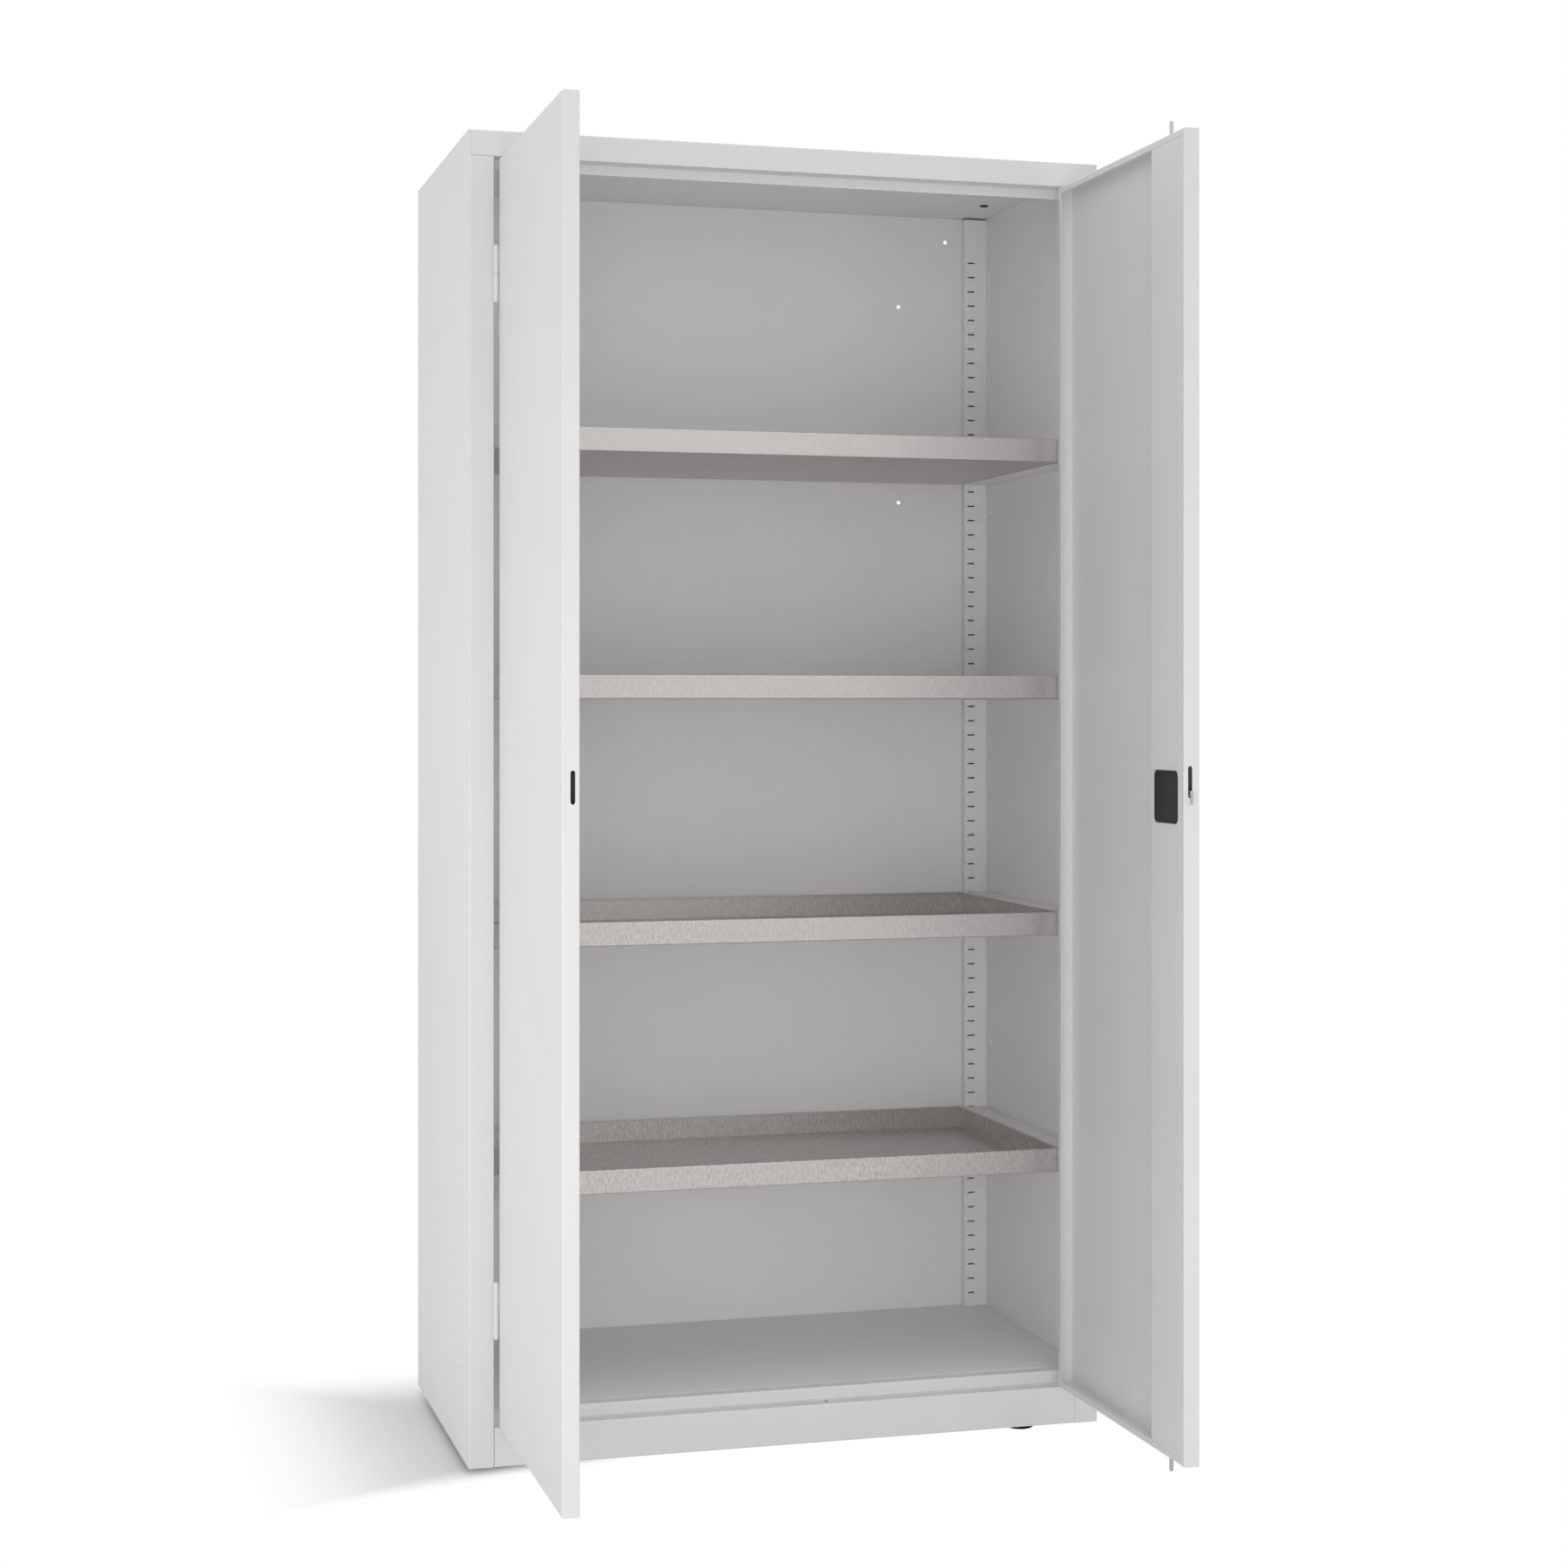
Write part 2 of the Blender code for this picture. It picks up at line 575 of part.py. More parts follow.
def build_top_panel():
    """The roof, header, ledge and stop lip, folded from one sheet, with the upper rod's hole."""
    points = [(BACK_Y, BODY_TOP - ROOF_REAR_RETURN), (BACK_Y, BODY_TOP), (FRONT_Y, BODY_TOP),
              (FRONT_Y, HEADER_Z), (FRONT_Y + LEDGE_DEPTH, HEADER_Z),
              (FRONT_Y + LEDGE_DEPTH, HEADER_Z - STOP_LIP_HEIGHT)]
    radii = (INNER_BEND, INNER_BEND, INNER_BEND, INNER_BEND)
    outline = folded_outline(points, SHEET, radii)
    bm = bmesh.new()
    add_prism(bm, outline, 0, -HALF_WIDTH, HALF_WIDTH)
    panel = add_solid("top_panel", bm, GREY_COLOUR, PAINT_FINISH)
    lip_front = FRONT_Y + LEDGE_DEPTH - SHEET - INNER_BEND
    ends = bmesh.new()
    for side in SIDES.values():
        edge = side * HALF_WIDTH
        outside = edge + side * CUT_OVERRUN
        wall_inside = edge - side * (SHEET + FIT_GAP)
        stile_inner = edge - side * (STILE_WIDTH + FIT_GAP)
        over_stile = [(outside, FRONT_Y + SHEET + FIT_GAP), (wall_inside, FRONT_Y + SHEET + FIT_GAP),
                      (wall_inside, lip_front), (stile_inner, lip_front),
                      (stile_inner, STILE_BACK_Y + CUT_OVERRUN),
                      (outside, STILE_BACK_Y + CUT_OVERRUN)]
        add_prism(ends, over_stile, 2, HEADER_Z - STOP_LIP_HEIGHT - CUT_OVERRUN,
                  HEADER_Z + SHEET + CUT_OVERRUN)
        add_box(ends, (edge - side * (REAR_RETURN + FIT_GAP), BACK_Y - INNER_BEND - FIT_GAP,
                       BODY_TOP - ROOF_REAR_RETURN - CUT_OVERRUN),
                (outside, BACK_Y + CUT_OVERRUN, BODY_TOP + CUT_OVERRUN))
    cut(panel, ends)
    strips = bmesh.new()
    for side in SIDES.values():
        add_box(strips, (side * (HALF_WIDTH - CORNER_STRIP - FIT_GAP), FRONT_Y - CUT_OVERRUN,
                         HEADER_Z - CUT_OVERRUN),
                (side * (HALF_WIDTH + CUT_OVERRUN), FRONT_Y + OUTER_BEND + FIT_GAP,
                 ROOF_UNDERSIDE - FIT_GAP / 3))
    cut(panel, strips)
    holes = bmesh.new()
    add_rod_hole(holes, HEADER_Z - CUT_OVERRUN, HEADER_Z + SHEET + CUT_OVERRUN)
    for side in SIDES.values():
        add_prism(holes, circle(plug_place(side), ROOF_PLUG_RADIUS, ROUND_STEPS), 2,
                  ROOF_UNDERSIDE - CUT_OVERRUN, BODY_TOP + CUT_OVERRUN)
    return cut(panel, holes)


def plug_place(side):
    return side * (HALF_WIDTH - ROOF_PLUG_SIDE_INSET), FRONT_Y + ROOF_PLUG_SETBACK


def build_roof_plug(side_name):
    """A push-in plug that closes a lifting hole in the roof."""
    body = ROOF_PLUG_RADIUS - FIT_GAP
    rim = ROOF_PLUG_RADIUS + ROOF_PLUG_FLANGE
    top = BODY_TOP + FIT_GAP
    bottom = ROOF_UNDERSIDE - ROOF_PLUG_DEPTH
    profile = [(0, bottom), (body, bottom), (body, top), (rim, top),
               (rim, top + ROOF_PLUG_RISE / 2), (body, top + ROOF_PLUG_RISE),
               (0, top + ROOF_PLUG_RISE)]
    bm = bmesh.new()
    add_turned(bm, profile, ROUND_STEPS, plug_place(SIDES[side_name]))
    plug = add_solid(side_name + "_roof_plug", bm, BLACK_COLOUR, PLASTIC_FINISH)
    return smooth_round(plug)


def build_floor_panel():
    """The floor, riser, ledge and plinth, folded from one sheet, with the lower rod's hole."""
    ledge_back = FRONT_Y + LEDGE_DEPTH
    points = [(BACK_FACE_Y - FIT_GAP, FLOOR_Z), (ledge_back, FLOOR_Z), (ledge_back, PLINTH_Z),
              (FRONT_Y, PLINTH_Z), (FRONT_Y, BASE_Z), (FRONT_Y + PLINTH_RETURN, BASE_Z)]
    radii = (INNER_BEND, INNER_BEND, INNER_BEND, INNER_BEND)
    outline = folded_outline(points, SHEET, radii)
    reach = HALF_WIDTH - SHEET - FIT_GAP
    bm = bmesh.new()
    add_prism(bm, outline, 0, -reach, reach)
    panel = add_solid("floor_panel", bm, GREY_COLOUR, PAINT_FINISH)
    corners = bmesh.new()
    for side in SIDES.values():
        add_box(corners, (side * (HALF_WIDTH - STILE_WIDTH - FIT_GAP), FRONT_Y - CUT_OVERRUN,
                          BASE_Z - CUT_OVERRUN),
                (side * (HALF_WIDTH + CUT_OVERRUN), STILE_BACK_Y + FIT_GAP,
                 FLOOR_Z + CUT_OVERRUN))
    cut(panel, corners)
    holes = bmesh.new()
    add_rod_hole(holes, PLINTH_Z - SHEET - CUT_OVERRUN, PLINTH_Z + CUT_OVERRUN)
    for inset_share, depth_share in FLOOR_HOLE_SHARES:
        for side in SIDES.values():
            centre = (side * CABINET_WIDTH * inset_share, FRONT_Y + CABINET_DEPTH * depth_share)
            add_prism(holes, circle(centre, FLOOR_HOLE_RADIUS, SIDE_HOLE_STEPS), 2,
                      FLOOR_Z - SHEET - CUT_OVERRUN, FLOOR_Z + CUT_OVERRUN)
    return cut(panel, holes)


def build_rear_upright(side_name):
    """A perforated angle in the rear corner: a face with the slots, and a return to the back."""
    side = SIDES[side_name]
    outer = HALF_WIDTH - SHEET - FIT_GAP
    inner = HALF_WIDTH - UPRIGHT_WIDTH - SHEET
    points = [(-outer, UPRIGHT_FACE_Y), (-inner, UPRIGHT_FACE_Y),
              (-inner, BACK_FACE_Y - FIT_GAP)]
    outline = folded_outline(points, SHEET, (INNER_BEND,))
    outline = [(-side * x, y) for x, y in outline]
    bm = bmesh.new()
    add_prism(bm, outline, 2, FLOOR_Z + FIT_GAP, ROOF_UNDERSIDE - UPRIGHT_TOP_GAP)
    upright = add_solid(side_name + "_rear_upright", bm, GREY_COLOUR, PAINT_FINISH)
    holes = bmesh.new()
    add_slot_row(holes, side, UPRIGHT_FACE_Y, SHEET)
    return cut(upright, holes)


def build_base_rail(side_name):
    """A channel under the floor, from front to back, that the levelling feet screw into."""
    side = SIDES[side_name]
    middle = side * (HALF_WIDTH - FOOT_INSET)
    top = FLOOR_Z - SHEET - FIT_GAP
    bottom = top - BASE_RAIL_DROP
    half = BASE_RAIL_WIDTH / 2
    points = [(middle - half, top), (middle - half, bottom), (middle + half, bottom),
              (middle + half, top)]
    radii = (OUTER_BEND, OUTER_BEND)
    outline = folded_outline(points, BASE_RAIL_SHEET, radii)
    bm = bmesh.new()
    add_prism(bm, [(x, z) for x, z in outline], 1, STILE_BACK_Y + FIT_GAP,
              BACK_FACE_Y - FIT_GAP)
    rail = add_solid(side_name + "_base_rail", bm, GREY_COLOUR, PAINT_FINISH)
    holes = bmesh.new()
    for y in foot_rows().values():
        add_prism(holes, circle((middle, y), FOOT_STUD_RADIUS + FIT_GAP, ROUND_STEPS), 2,
                  bottom - CUT_OVERRUN, bottom + BASE_RAIL_SHEET + CUT_OVERRUN)
    return cut(rail, holes)


def foot_rows():
    return {"front": FRONT_Y + FOOT_SETBACK, "rear": BACK_Y - FOOT_SETBACK}


def build_foot(name, x, y):
    """A levelling foot: a round pad, a hexagon to turn it by, and a stud up through the rail."""
    web_underside = FLOOR_Z - SHEET - FIT_GAP - BASE_RAIL_DROP
    stud_top = web_underside + BASE_RAIL_SHEET + FOOT_STUD_RISE
    rim_height = FOOT_PAD_HEIGHT / 2
    neck_bottom = FOOT_PAD_HEIGHT + FOOT_HEX_HEIGHT
    stud_share = 0.8
    profile = [(0, 0), (FOOT_RADIUS, 0), (FOOT_RADIUS, rim_height),
               (FOOT_NECK_RADIUS, FOOT_PAD_HEIGHT), (FOOT_NECK_RADIUS, neck_bottom),
               (FOOT_STUD_RADIUS, neck_bottom), (FOOT_STUD_RADIUS, stud_top),
               (FOOT_STUD_RADIUS * stud_share, stud_top + FOOT_STUD_RADIUS * (1 - stud_share)),
               (0, stud_top + FOOT_STUD_RADIUS * (1 - stud_share))]
    bm = bmesh.new()
    add_turned(bm, profile, ROUND_STEPS)
    foot = add_solid(name, bm, BLACK_COLOUR, PLASTIC_FINISH, None, (x, y, 0))
    return smooth_round(foot)


def shelf_rim(level):
    return FIRST_SLOT_Z + SLOT_PITCH * (LOWEST_SHELF_PITCHES + SHELF_PITCHES * level)


def tray_reach():
    """The tray's half width, and its front and rear faces, as x, y and y."""
    return (HALF_WIDTH - TRAY_SIDE_MARGIN, FRONT_Y + TRAY_FRONT_SETBACK,
            BACK_Y - TRAY_REAR_SETBACK)


def tray_mesh():
    """A shallow tray folded from galvanised sheet, its rim hemmed inwards, rim at z zero."""
    half, front, rear = tray_reach()
    bm = bmesh.new()
    add_pan(bm, (-half, -rear), (half, -front), 0, TRAY_HEIGHT, TRAY_WALL, TRAY_BEND,
            (TRAY_HEM, TRAY_HEM, TRAY_HEM, TRAY_HEM))
    turn = Matrix.Rotation(math.pi / 2, 4, "X")
    bmesh.ops.transform(bm, matrix=turn, verts=bm.verts[:])
    bmesh.ops.translate(bm, vec=(0, 0, -TRAY_HEIGHT), verts=bm.verts[:])
    return finished_mesh(bm, "tray")


def rail_bmesh(side):
    """A shelf rail: a shallow pan against the side wall, open to the tray, rim level at z zero.

    The lip that the tray rests on runs out of the pan's lower flange, its ends cut back.
    """
    bottom = -(TRAY_HEIGHT + FIT_GAP + RAIL_SHEET)
    wall_x = side * (HALF_WIDTH - SHEET - FIT_GAP)
    front = STILE_BACK_Y + FIT_GAP
    rear = UPRIGHT_FACE_Y - FIT_GAP
    reach = TRAY_SIDE_MARGIN - SHEET - FIT_GAP * 2
    bm = bmesh.new()
    add_pan(bm, (front, bottom), (rear, 0.0), 0, reach, RAIL_SHEET, INNER_BEND, (0, 0, 0, 0))
    bm.faces.ensure_lookup_table()
    rim = [face for face in bm.faces
           if all(vert.co.y > reach - FIT_GAP and vert.co.z < bottom + RAIL_SHEET + FIT_GAP
                  for vert in face.verts)]
    grown = bmesh.ops.extrude_face_region(bm, geom=rim)["geom"]
    bmesh.ops.delete(bm, geom=rim, context="FACES_ONLY")
    middle = (front + rear) / 2
    for vert in grown:
        if isinstance(vert, bmesh.types.BMVert):
            vert.co.y += RAIL_LIP
            vert.co.x += RAIL_LIP_TAPER if vert.co.x < middle else -RAIL_LIP_TAPER
    for vert in bm.verts:
        along, depth, height = vert.co
        vert.co = (wall_x - side * depth, along, height)
    return bm


def rail_tabs(side):
    """The tabs of a shelf rail that hook into the slots at its front and rear."""
    front = STILE_BACK_Y + FIT_GAP
    rear = UPRIGHT_FACE_Y - FIT_GAP
    bm = bmesh.new()
    slot_middle = side * (HALF_WIDTH - SLOT_INSET - SLOT_WIDTH / 2)
    tab_z = -SLOT_PITCH * RAIL_TAB_PITCHES
    for start, end in ((rear - RAIL_SHEET / 2, rear + RAIL_TAB_REACH),
                       (front + RAIL_SHEET / 2, front - RAIL_TAB_REACH)):
        add_box(bm, (slot_middle - RAIL_TAB_WIDTH / 2, start, tab_z - RAIL_TAB_HEIGHT / 2),
                (slot_middle + RAIL_TAB_WIDTH / 2, end, tab_z + RAIL_TAB_HEIGHT / 2))
    return bm


def build_shelves():
    """Four tray shelves, each between a pair of rails that hook into the uprights' slots."""
    shared = tray_mesh()
    rails = {name: finished_mesh(rail_bmesh(side), name + "_rail") for name, side in SIDES.items()}
    for number, level in enumerate(range(SHELF_COUNT), start=1):
        place = (0, 0, shelf_rim(level))
        place_mesh(f"shelf_{number}", shared, ZINC_COLOUR, METAL_FINISH, None, place)
        for name, side in SIDES.items():
            rail = place_mesh(f"shelf_{number}_{name}_rail", rails[name], GREY_COLOUR,
                              PAINT_FINISH, None, place)
            join(rail, rail_tabs(side))


def barrel_end(tip, way):
    """Rounded end of a hinge barrel, as (radius, height) points from the tip inwards."""
    points = [(0, tip)]
    for radius_share, depth_share in HINGE_END_SHARES:
        points.append((HINGE_RADIUS * radius_share,
                       tip + way * HINGE_END_LENGTH * (1 - depth_share)))
    points.append((HINGE_RADIUS, tip + way * HINGE_END_LENGTH))
    return points


def add_leaf(solid, side, leaf_low, leaf_high, bottom, top):
    """The flat leaf that runs back from a barrel, between two distances from its axis."""
    start = (HINGE_PIN_RADIUS + HINGE_BORE_CLEARANCE + HINGE_RADIUS) / 2
    leaf = bmesh.new()
    add_box(leaf, (-side * leaf_low, start, bottom), (-side * leaf_high, HINGE_LEAF_REACH, top))
    return join(solid, leaf)


def build_hinge(side_name, level, pivot):
    """One lift-off hinge: the lower half with the pin on the stile, the upper half on the door."""
    side = SIDES[side_name]
    split = HINGE_SPLITS[level]
    half = HINGE_LENGTH / 2
    frame_leaf = FIT_GAP - HINGE_AXIS_IN_GAP
    door_leaf = DOOR_NEAR - FIT_GAP
    name = side_name + "_" + level + "_hinge"
    bottom = split - half
    seat = split - FIT_GAP
    pin_top = split + HINGE_PIN_RISE
    low = bmesh.new()
    add_turned(low, barrel_end(bottom, 1) + [
        (HINGE_RADIUS, seat), (HINGE_PIN_RADIUS, seat), (HINGE_PIN_RADIUS, pin_top),
        (0, pin_top)], HINGE_STEPS)
    lower = add_solid(name + "_frame_half", low, STEEL_COLOUR, METAL_FINISH, None,
                      (side * DOOR_AXIS_X, AXIS_Y, 0))
    add_leaf(lower, side, frame_leaf, frame_leaf + HINGE_LEAF, bottom + HINGE_END_LENGTH * 2,
             seat - FIT_GAP)
    top = split + half
    bore = HINGE_PIN_RADIUS + HINGE_BORE_CLEARANCE
    bore_top = pin_top + HINGE_BORE_CLEARANCE
    high = bmesh.new()
    add_turned(high, [(0, bore_top), (bore, bore_top), (bore, split), (HINGE_RADIUS, split)]
               + barrel_end(top, -1)[::-1], HINGE_STEPS)
    upper = add_solid(name + "_door_half", high, STEEL_COLOUR, METAL_FINISH, pivot)
    add_leaf(upper, side, door_leaf - HINGE_LEAF, door_leaf, split + FIT_GAP,
             top - HINGE_END_LENGTH * 2)
    smooth_round(lower)
    smooth_round(upper)


def build_door(side_name, pivot):
    """A door pan, drawn shut and carried by its pivot, with its edge slot and rod holes."""
    side = SIDES[side_name]
    near, far = -side * DOOR_NEAR, -side * DOOR_FAR
    if side > 0:
        low, high = (far, DOOR_BOTTOM), (near, DOOR_TOP)
        lips = (DOOR_CLOSING_LIP, DOOR_HINGE_LIP, DOOR_LIP, DOOR_LIP)
    else:
        low, high = (near, DOOR_BOTTOM), (far, DOOR_TOP)
        lips = (DOOR_HINGE_LIP, DOOR_CLOSING_LIP, DOOR_LIP, DOOR_LIP)
    bm = bmesh.new()
    add_pan(bm, low, high, OUTER_FACE, DOOR_THICKNESS, SHEET, DOOR_BEND, lips)
    door = add_solid(side_name + "_door", bm, GREY_COLOUR, PAINT_FINISH, pivot)
    holes = bmesh.new()
    slot_middle = OUTER_FACE + EDGE_SLOT_DEPTH
    slot_low = (slot_middle - EDGE_SLOT_WIDTH / 2, EDGE_SLOT_Z)
    slot_high = (slot_middle + EDGE_SLOT_WIDTH / 2, slot_low[1] + EDGE_SLOT_HEIGHT)
    outline = stadium(slot_low, slot_high, ROUND_STEPS // 4)
    add_prism(holes, outline, 0, far - side * CUT_OVERRUN, far + side * (SHEET + CUT_OVERRUN))
    if side_name == "right":
        place = (far + ROD_INSET, OUTER_FACE + ROD_DEPTH)
        hole = circle(place, ROD_RADIUS + ROD_HOLE_CLEARANCE, BACK_HOLE_STEPS)
        add_prism(holes, hole, 2, DOOR_TOP - SHEET - CUT_OVERRUN, DOOR_TOP + CUT_OVERRUN)
        add_prism(holes, hole, 2, DOOR_BOTTOM - CUT_OVERRUN, DOOR_BOTTOM + SHEET + CUT_OVERRUN)
        spindle = circle((far + HANDLE_INSET, LOCK_Z),
                         HANDLE_SPINDLE_RADIUS + HANDLE_CLEARANCE, ROUND_STEPS)
        add_prism(holes, spindle, 1, OUTER_FACE - CUT_OVERRUN, OUTER_FACE + SHEET + CUT_OVERRUN)
    return cut(door, holes)


def build_stiffener(side_name, pivot):
    """The channel along a door's closing edge: a web flush with the lips, and slots in its bend."""
    side = SIDES[side_name]
    closing = DOOR_FAR - DOOR_CLOSING_LIP - FIT_GAP
    inner = DOOR_FAR - STIFFENER_WIDTH
    skin = OUTER_FACE + SHEET + FIT_GAP
    points = [(closing, LIP_FACE), (inner, LIP_FACE), (inner, skin),
              (inner + STIFFENER_FOOT, skin)]
    outline = folded_outline(points, SHEET, (INNER_BEND, INNER_BEND))
    bm = bmesh.new()
    add_prism(bm, [(-side * x, y) for x, y in outline], 2, DOOR_BOTTOM + DOOR_BEND,
              DOOR_TOP - DOOR_BEND)
    stiffener = add_solid(side_name + "_door_stiffener", bm, GREY_COLOUR, PAINT_FINISH, pivot)
    holes = bmesh.new()
    under_lips = ((DOOR_BOTTOM - CUT_OVERRUN, DOOR_BOTTOM + DOOR_LIP + FIT_GAP),
                  (DOOR_TOP - DOOR_LIP - FIT_GAP, DOOR_TOP + CUT_OVERRUN))
    for low, high in under_lips:
        add_box(holes, (-side * (inner - CUT_OVERRUN), WEB_BACK - FIT_GAP, low),
                (-side * (DOOR_FAR + CUT_OVERRUN), LIP_FACE + CUT_OVERRUN, high))
    for share in STIFFENER_SLOT_SHARES:
        middle = DOOR_BOTTOM + DOOR_HEIGHT * share
        add_box(holes, (-side * (inner - CUT_OVERRUN), LIP_FACE - STIFFENER_SLOT_WIDTH,
                        middle - STIFFENER_SLOT_HEIGHT / 2),
                (-side * (inner + STIFFENER_SLOT_WIDTH), LIP_FACE + CUT_OVERRUN,
                 middle + STIFFENER_SLOT_HEIGHT / 2))
    if side_name == "right":
        add_prism(holes, cover_outline(LOCK_COVER_REVEAL), 1, WEB_BACK - FIT_GAP,
                  LIP_FACE + CUT_OVERRUN)
    return cut(stiffener, holes)


def cover_outline(margin):
    """The lock cover's outline in x and z, with a margin around it."""
    low = (LOCK_COVER_INSET - DOOR_FAR - margin,
           LOCK_Z - LOCK_COVER_HEIGHT / 2 - margin)
    high = (low[0] + LOCK_COVER_WIDTH + 2 * margin, low[1] + LOCK_COVER_HEIGHT + 2 * margin)
    return rounded_rectangle(low, high, LOCK_COVER_CORNER + margin, PAN_BEND_STEPS)


def build_lock(pivot):
    """The lock case with its plate and cover, the rods with their guides, the handle, the hook."""
    edge = -DOOR_FAR
    rod = (edge + ROD_INSET, OUTER_FACE + ROD_DEPTH)
    skin = OUTER_FACE + SHEET + FIT_GAP
    behind_web = WEB_BACK - FIT_GAP
    case_front = OUTER_FACE + LOCK_CASE_BACKSET
    low = (edge + LOCK_CASE_INSET, LOCK_Z - LOCK_CASE_HEIGHT / 2)
    high = (low[0] + LOCK_CASE_WIDTH, low[1] + LOCK_CASE_HEIGHT)
    handle_centre = (edge + HANDLE_INSET, LOCK_Z)

    bm = bmesh.new()
    add_box(bm, (low[0], case_front, low[1]),
            (high[0], behind_web - LOCK_PLATE_THICKNESS / 2, high[1]))
    case = add_solid("lock_case", bm, STEEL_COLOUR, METAL_FINISH, pivot)
    plate = bmesh.new()
    add_prism(plate, cover_outline(LOCK_COVER_REVEAL + LOCK_PLATE_MARGIN), 1,
              behind_web - LOCK_PLATE_THICKNESS, behind_web)
    join(case, plate)
    bores = bmesh.new()
    add_prism(bores, circle(rod, ROD_RADIUS + ROD_CLEARANCE, BACK_HOLE_STEPS), 2,
              low[1] - CUT_OVERRUN, high[1] + CUT_OVERRUN)
    add_prism(bores, circle(handle_centre, HANDLE_SPINDLE_RADIUS + HANDLE_CLEARANCE, ROUND_STEPS),
              1, case_front - CUT_OVERRUN, case_front + HANDLE_SPINDLE_GRIP + HANDLE_CLEARANCE)
    cut(case, bores)

    bm = bmesh.new()
    cover_front = WEB_BACK + LOCK_COVER_THICKNESS
    add_layers(bm, ((cover_outline(0), WEB_BACK),
                    (cover_outline(0), cover_front - LOCK_COVER_CHAMFER),
                    (cover_outline(-LOCK_COVER_CHAMFER), cover_front)), 1)
    add_solid("lock_cover", bm, BLACK_COLOUR, PLASTIC_FINISH, pivot)

    guide_half = ROD_GUIDE_WIDTH / 2
    guide_tops = {"upper": DOOR_TOP - ROD_GUIDE_SETBACK,
                  "lower": DOOR_BOTTOM + ROD_GUIDE_SETBACK + ROD_GUIDE_HEIGHT}
    for name, top in guide_tops.items():
        bm = bmesh.new()
        add_box(bm, (rod[0] - guide_half, skin, top - ROD_GUIDE_HEIGHT),
                (rod[0] + guide_half, behind_web, top))
        guide = add_solid(name + "_rod_guide", bm, BLACK_COLOUR, PLASTIC_FINISH, pivot)
        bore = bmesh.new()
        add_prism(bore, circle(rod, ROD_RADIUS + ROD_CLEARANCE, BACK_HOLE_STEPS), 2,
                  top - ROD_GUIDE_HEIGHT - CUT_OVERRUN, top + CUT_OVERRUN)
        cut(guide, bore)

    rods = {"upper": (high[1] - ROD_GRIP, DOOR_TOP + ROD_THROW, 1),
            "lower": (low[1] + ROD_GRIP, DOOR_BOTTOM - ROD_THROW, -1)}
    for name, (start, tip, way) in rods.items():
        profile = [(0, start), (ROD_RADIUS, start), (ROD_RADIUS, tip - way * ROD_TIP_TAPER),
                   (ROD_RADIUS - ROD_TIP_TAPER / 2, tip), (0, tip)]
        bm = bmesh.new()
        add_turned(bm, profile, BACK_HOLE_STEPS)
        piece = add_solid(name + "_lock_rod", bm, STEEL_COLOUR, METAL_FINISH, pivot,
                          (rod[0], rod[1], 0))
        smooth_round(piece)

    build_handle(pivot, handle_centre, case_front)
    build_hook(pivot, edge)


def build_handle(pivot, centre, case_front):
    """A low lever handle on a round rose; its spindle runs through the skin into the lock case."""
    rose_back = OUTER_FACE - FIT_GAP
    rose_front = rose_back - HANDLE_ROSE_THICKNESS
    bm = bmesh.new()
    add_prism(bm, circle(centre, HANDLE_ROSE_RADIUS, HANDLE_ROSE_STEPS), 1, rose_front, rose_back)
    rose = add_solid("handle_rose", bm, BLACK_COLOUR, PLASTIC_FINISH, pivot)
    bore = bmesh.new()
    hub_hole = HANDLE_HUB_RADIUS + HANDLE_CLEARANCE
    add_prism(bore, circle(centre, hub_hole, ROUND_STEPS), 1, rose_front - CUT_OVERRUN,
              rose_back + CUT_OVERRUN)
    cut(rose, bore)
    smooth_round(rose)

    turning = add_pivot("lock_handle_pivot", (centre[0], 0, centre[1]))
    turning.parent = pivot
    lever_front = OUTER_FACE - HANDLE_PROUD
    lever_back = lever_front + HANDLE_LEVER_THICKNESS
    lever = bmesh.new()
    add_layers(lever, ((lever_outline(-HANDLE_LEVER_EDGE), lever_front),
                       (lever_outline(0), lever_front + HANDLE_LEVER_EDGE),
                       (lever_outline(0), lever_back - HANDLE_LEVER_EDGE),
                       (lever_outline(-HANDLE_LEVER_EDGE), lever_back)), 1)
    handle = add_solid("lock_handle", lever, BLACK_COLOUR, PLASTIC_FINISH, turning)
    hub = bmesh.new()
    add_prism(hub, circle((0, 0), HANDLE_HUB_RADIUS, ROUND_STEPS), 1,
              lever_back - HANDLE_LEVER_THICKNESS / 2, OUTER_FACE - FIT_GAP)
    join(handle, hub)
    spindle = bmesh.new()
    add_prism(spindle, circle((0, 0), HANDLE_SPINDLE_RADIUS, ROUND_STEPS), 1,
              OUTER_FACE - HANDLE_ROSE_THICKNESS, case_front + HANDLE_SPINDLE_GRIP)
    join(handle, spindle)
    smooth_round(handle)


def lever_outline(margin):
    """A tapered lever that hangs from its spindle: two arcs joined by their common tangents."""
    near = HANDLE_LEVER_WIDTH / 2 + margin
    far = HANDLE_TIP_WIDTH / 2 + margin
    span = HANDLE_LEVER_LENGTH - HANDLE_TIP_WIDTH / 2
    tilt = math.asin((near - far) / span)
    points = []
    for level, radius, start, sweep in ((0, near, -tilt, math.pi + 2 * tilt),
                                        (-span, far, math.pi + tilt, math.pi - 2 * tilt)):
        for step in range(HANDLE_LEVER_STEPS + 1):
            angle = start + sweep * step / HANDLE_LEVER_STEPS
            points.append((radius * math.cos(angle), level + radius * math.sin(angle)))
    return points


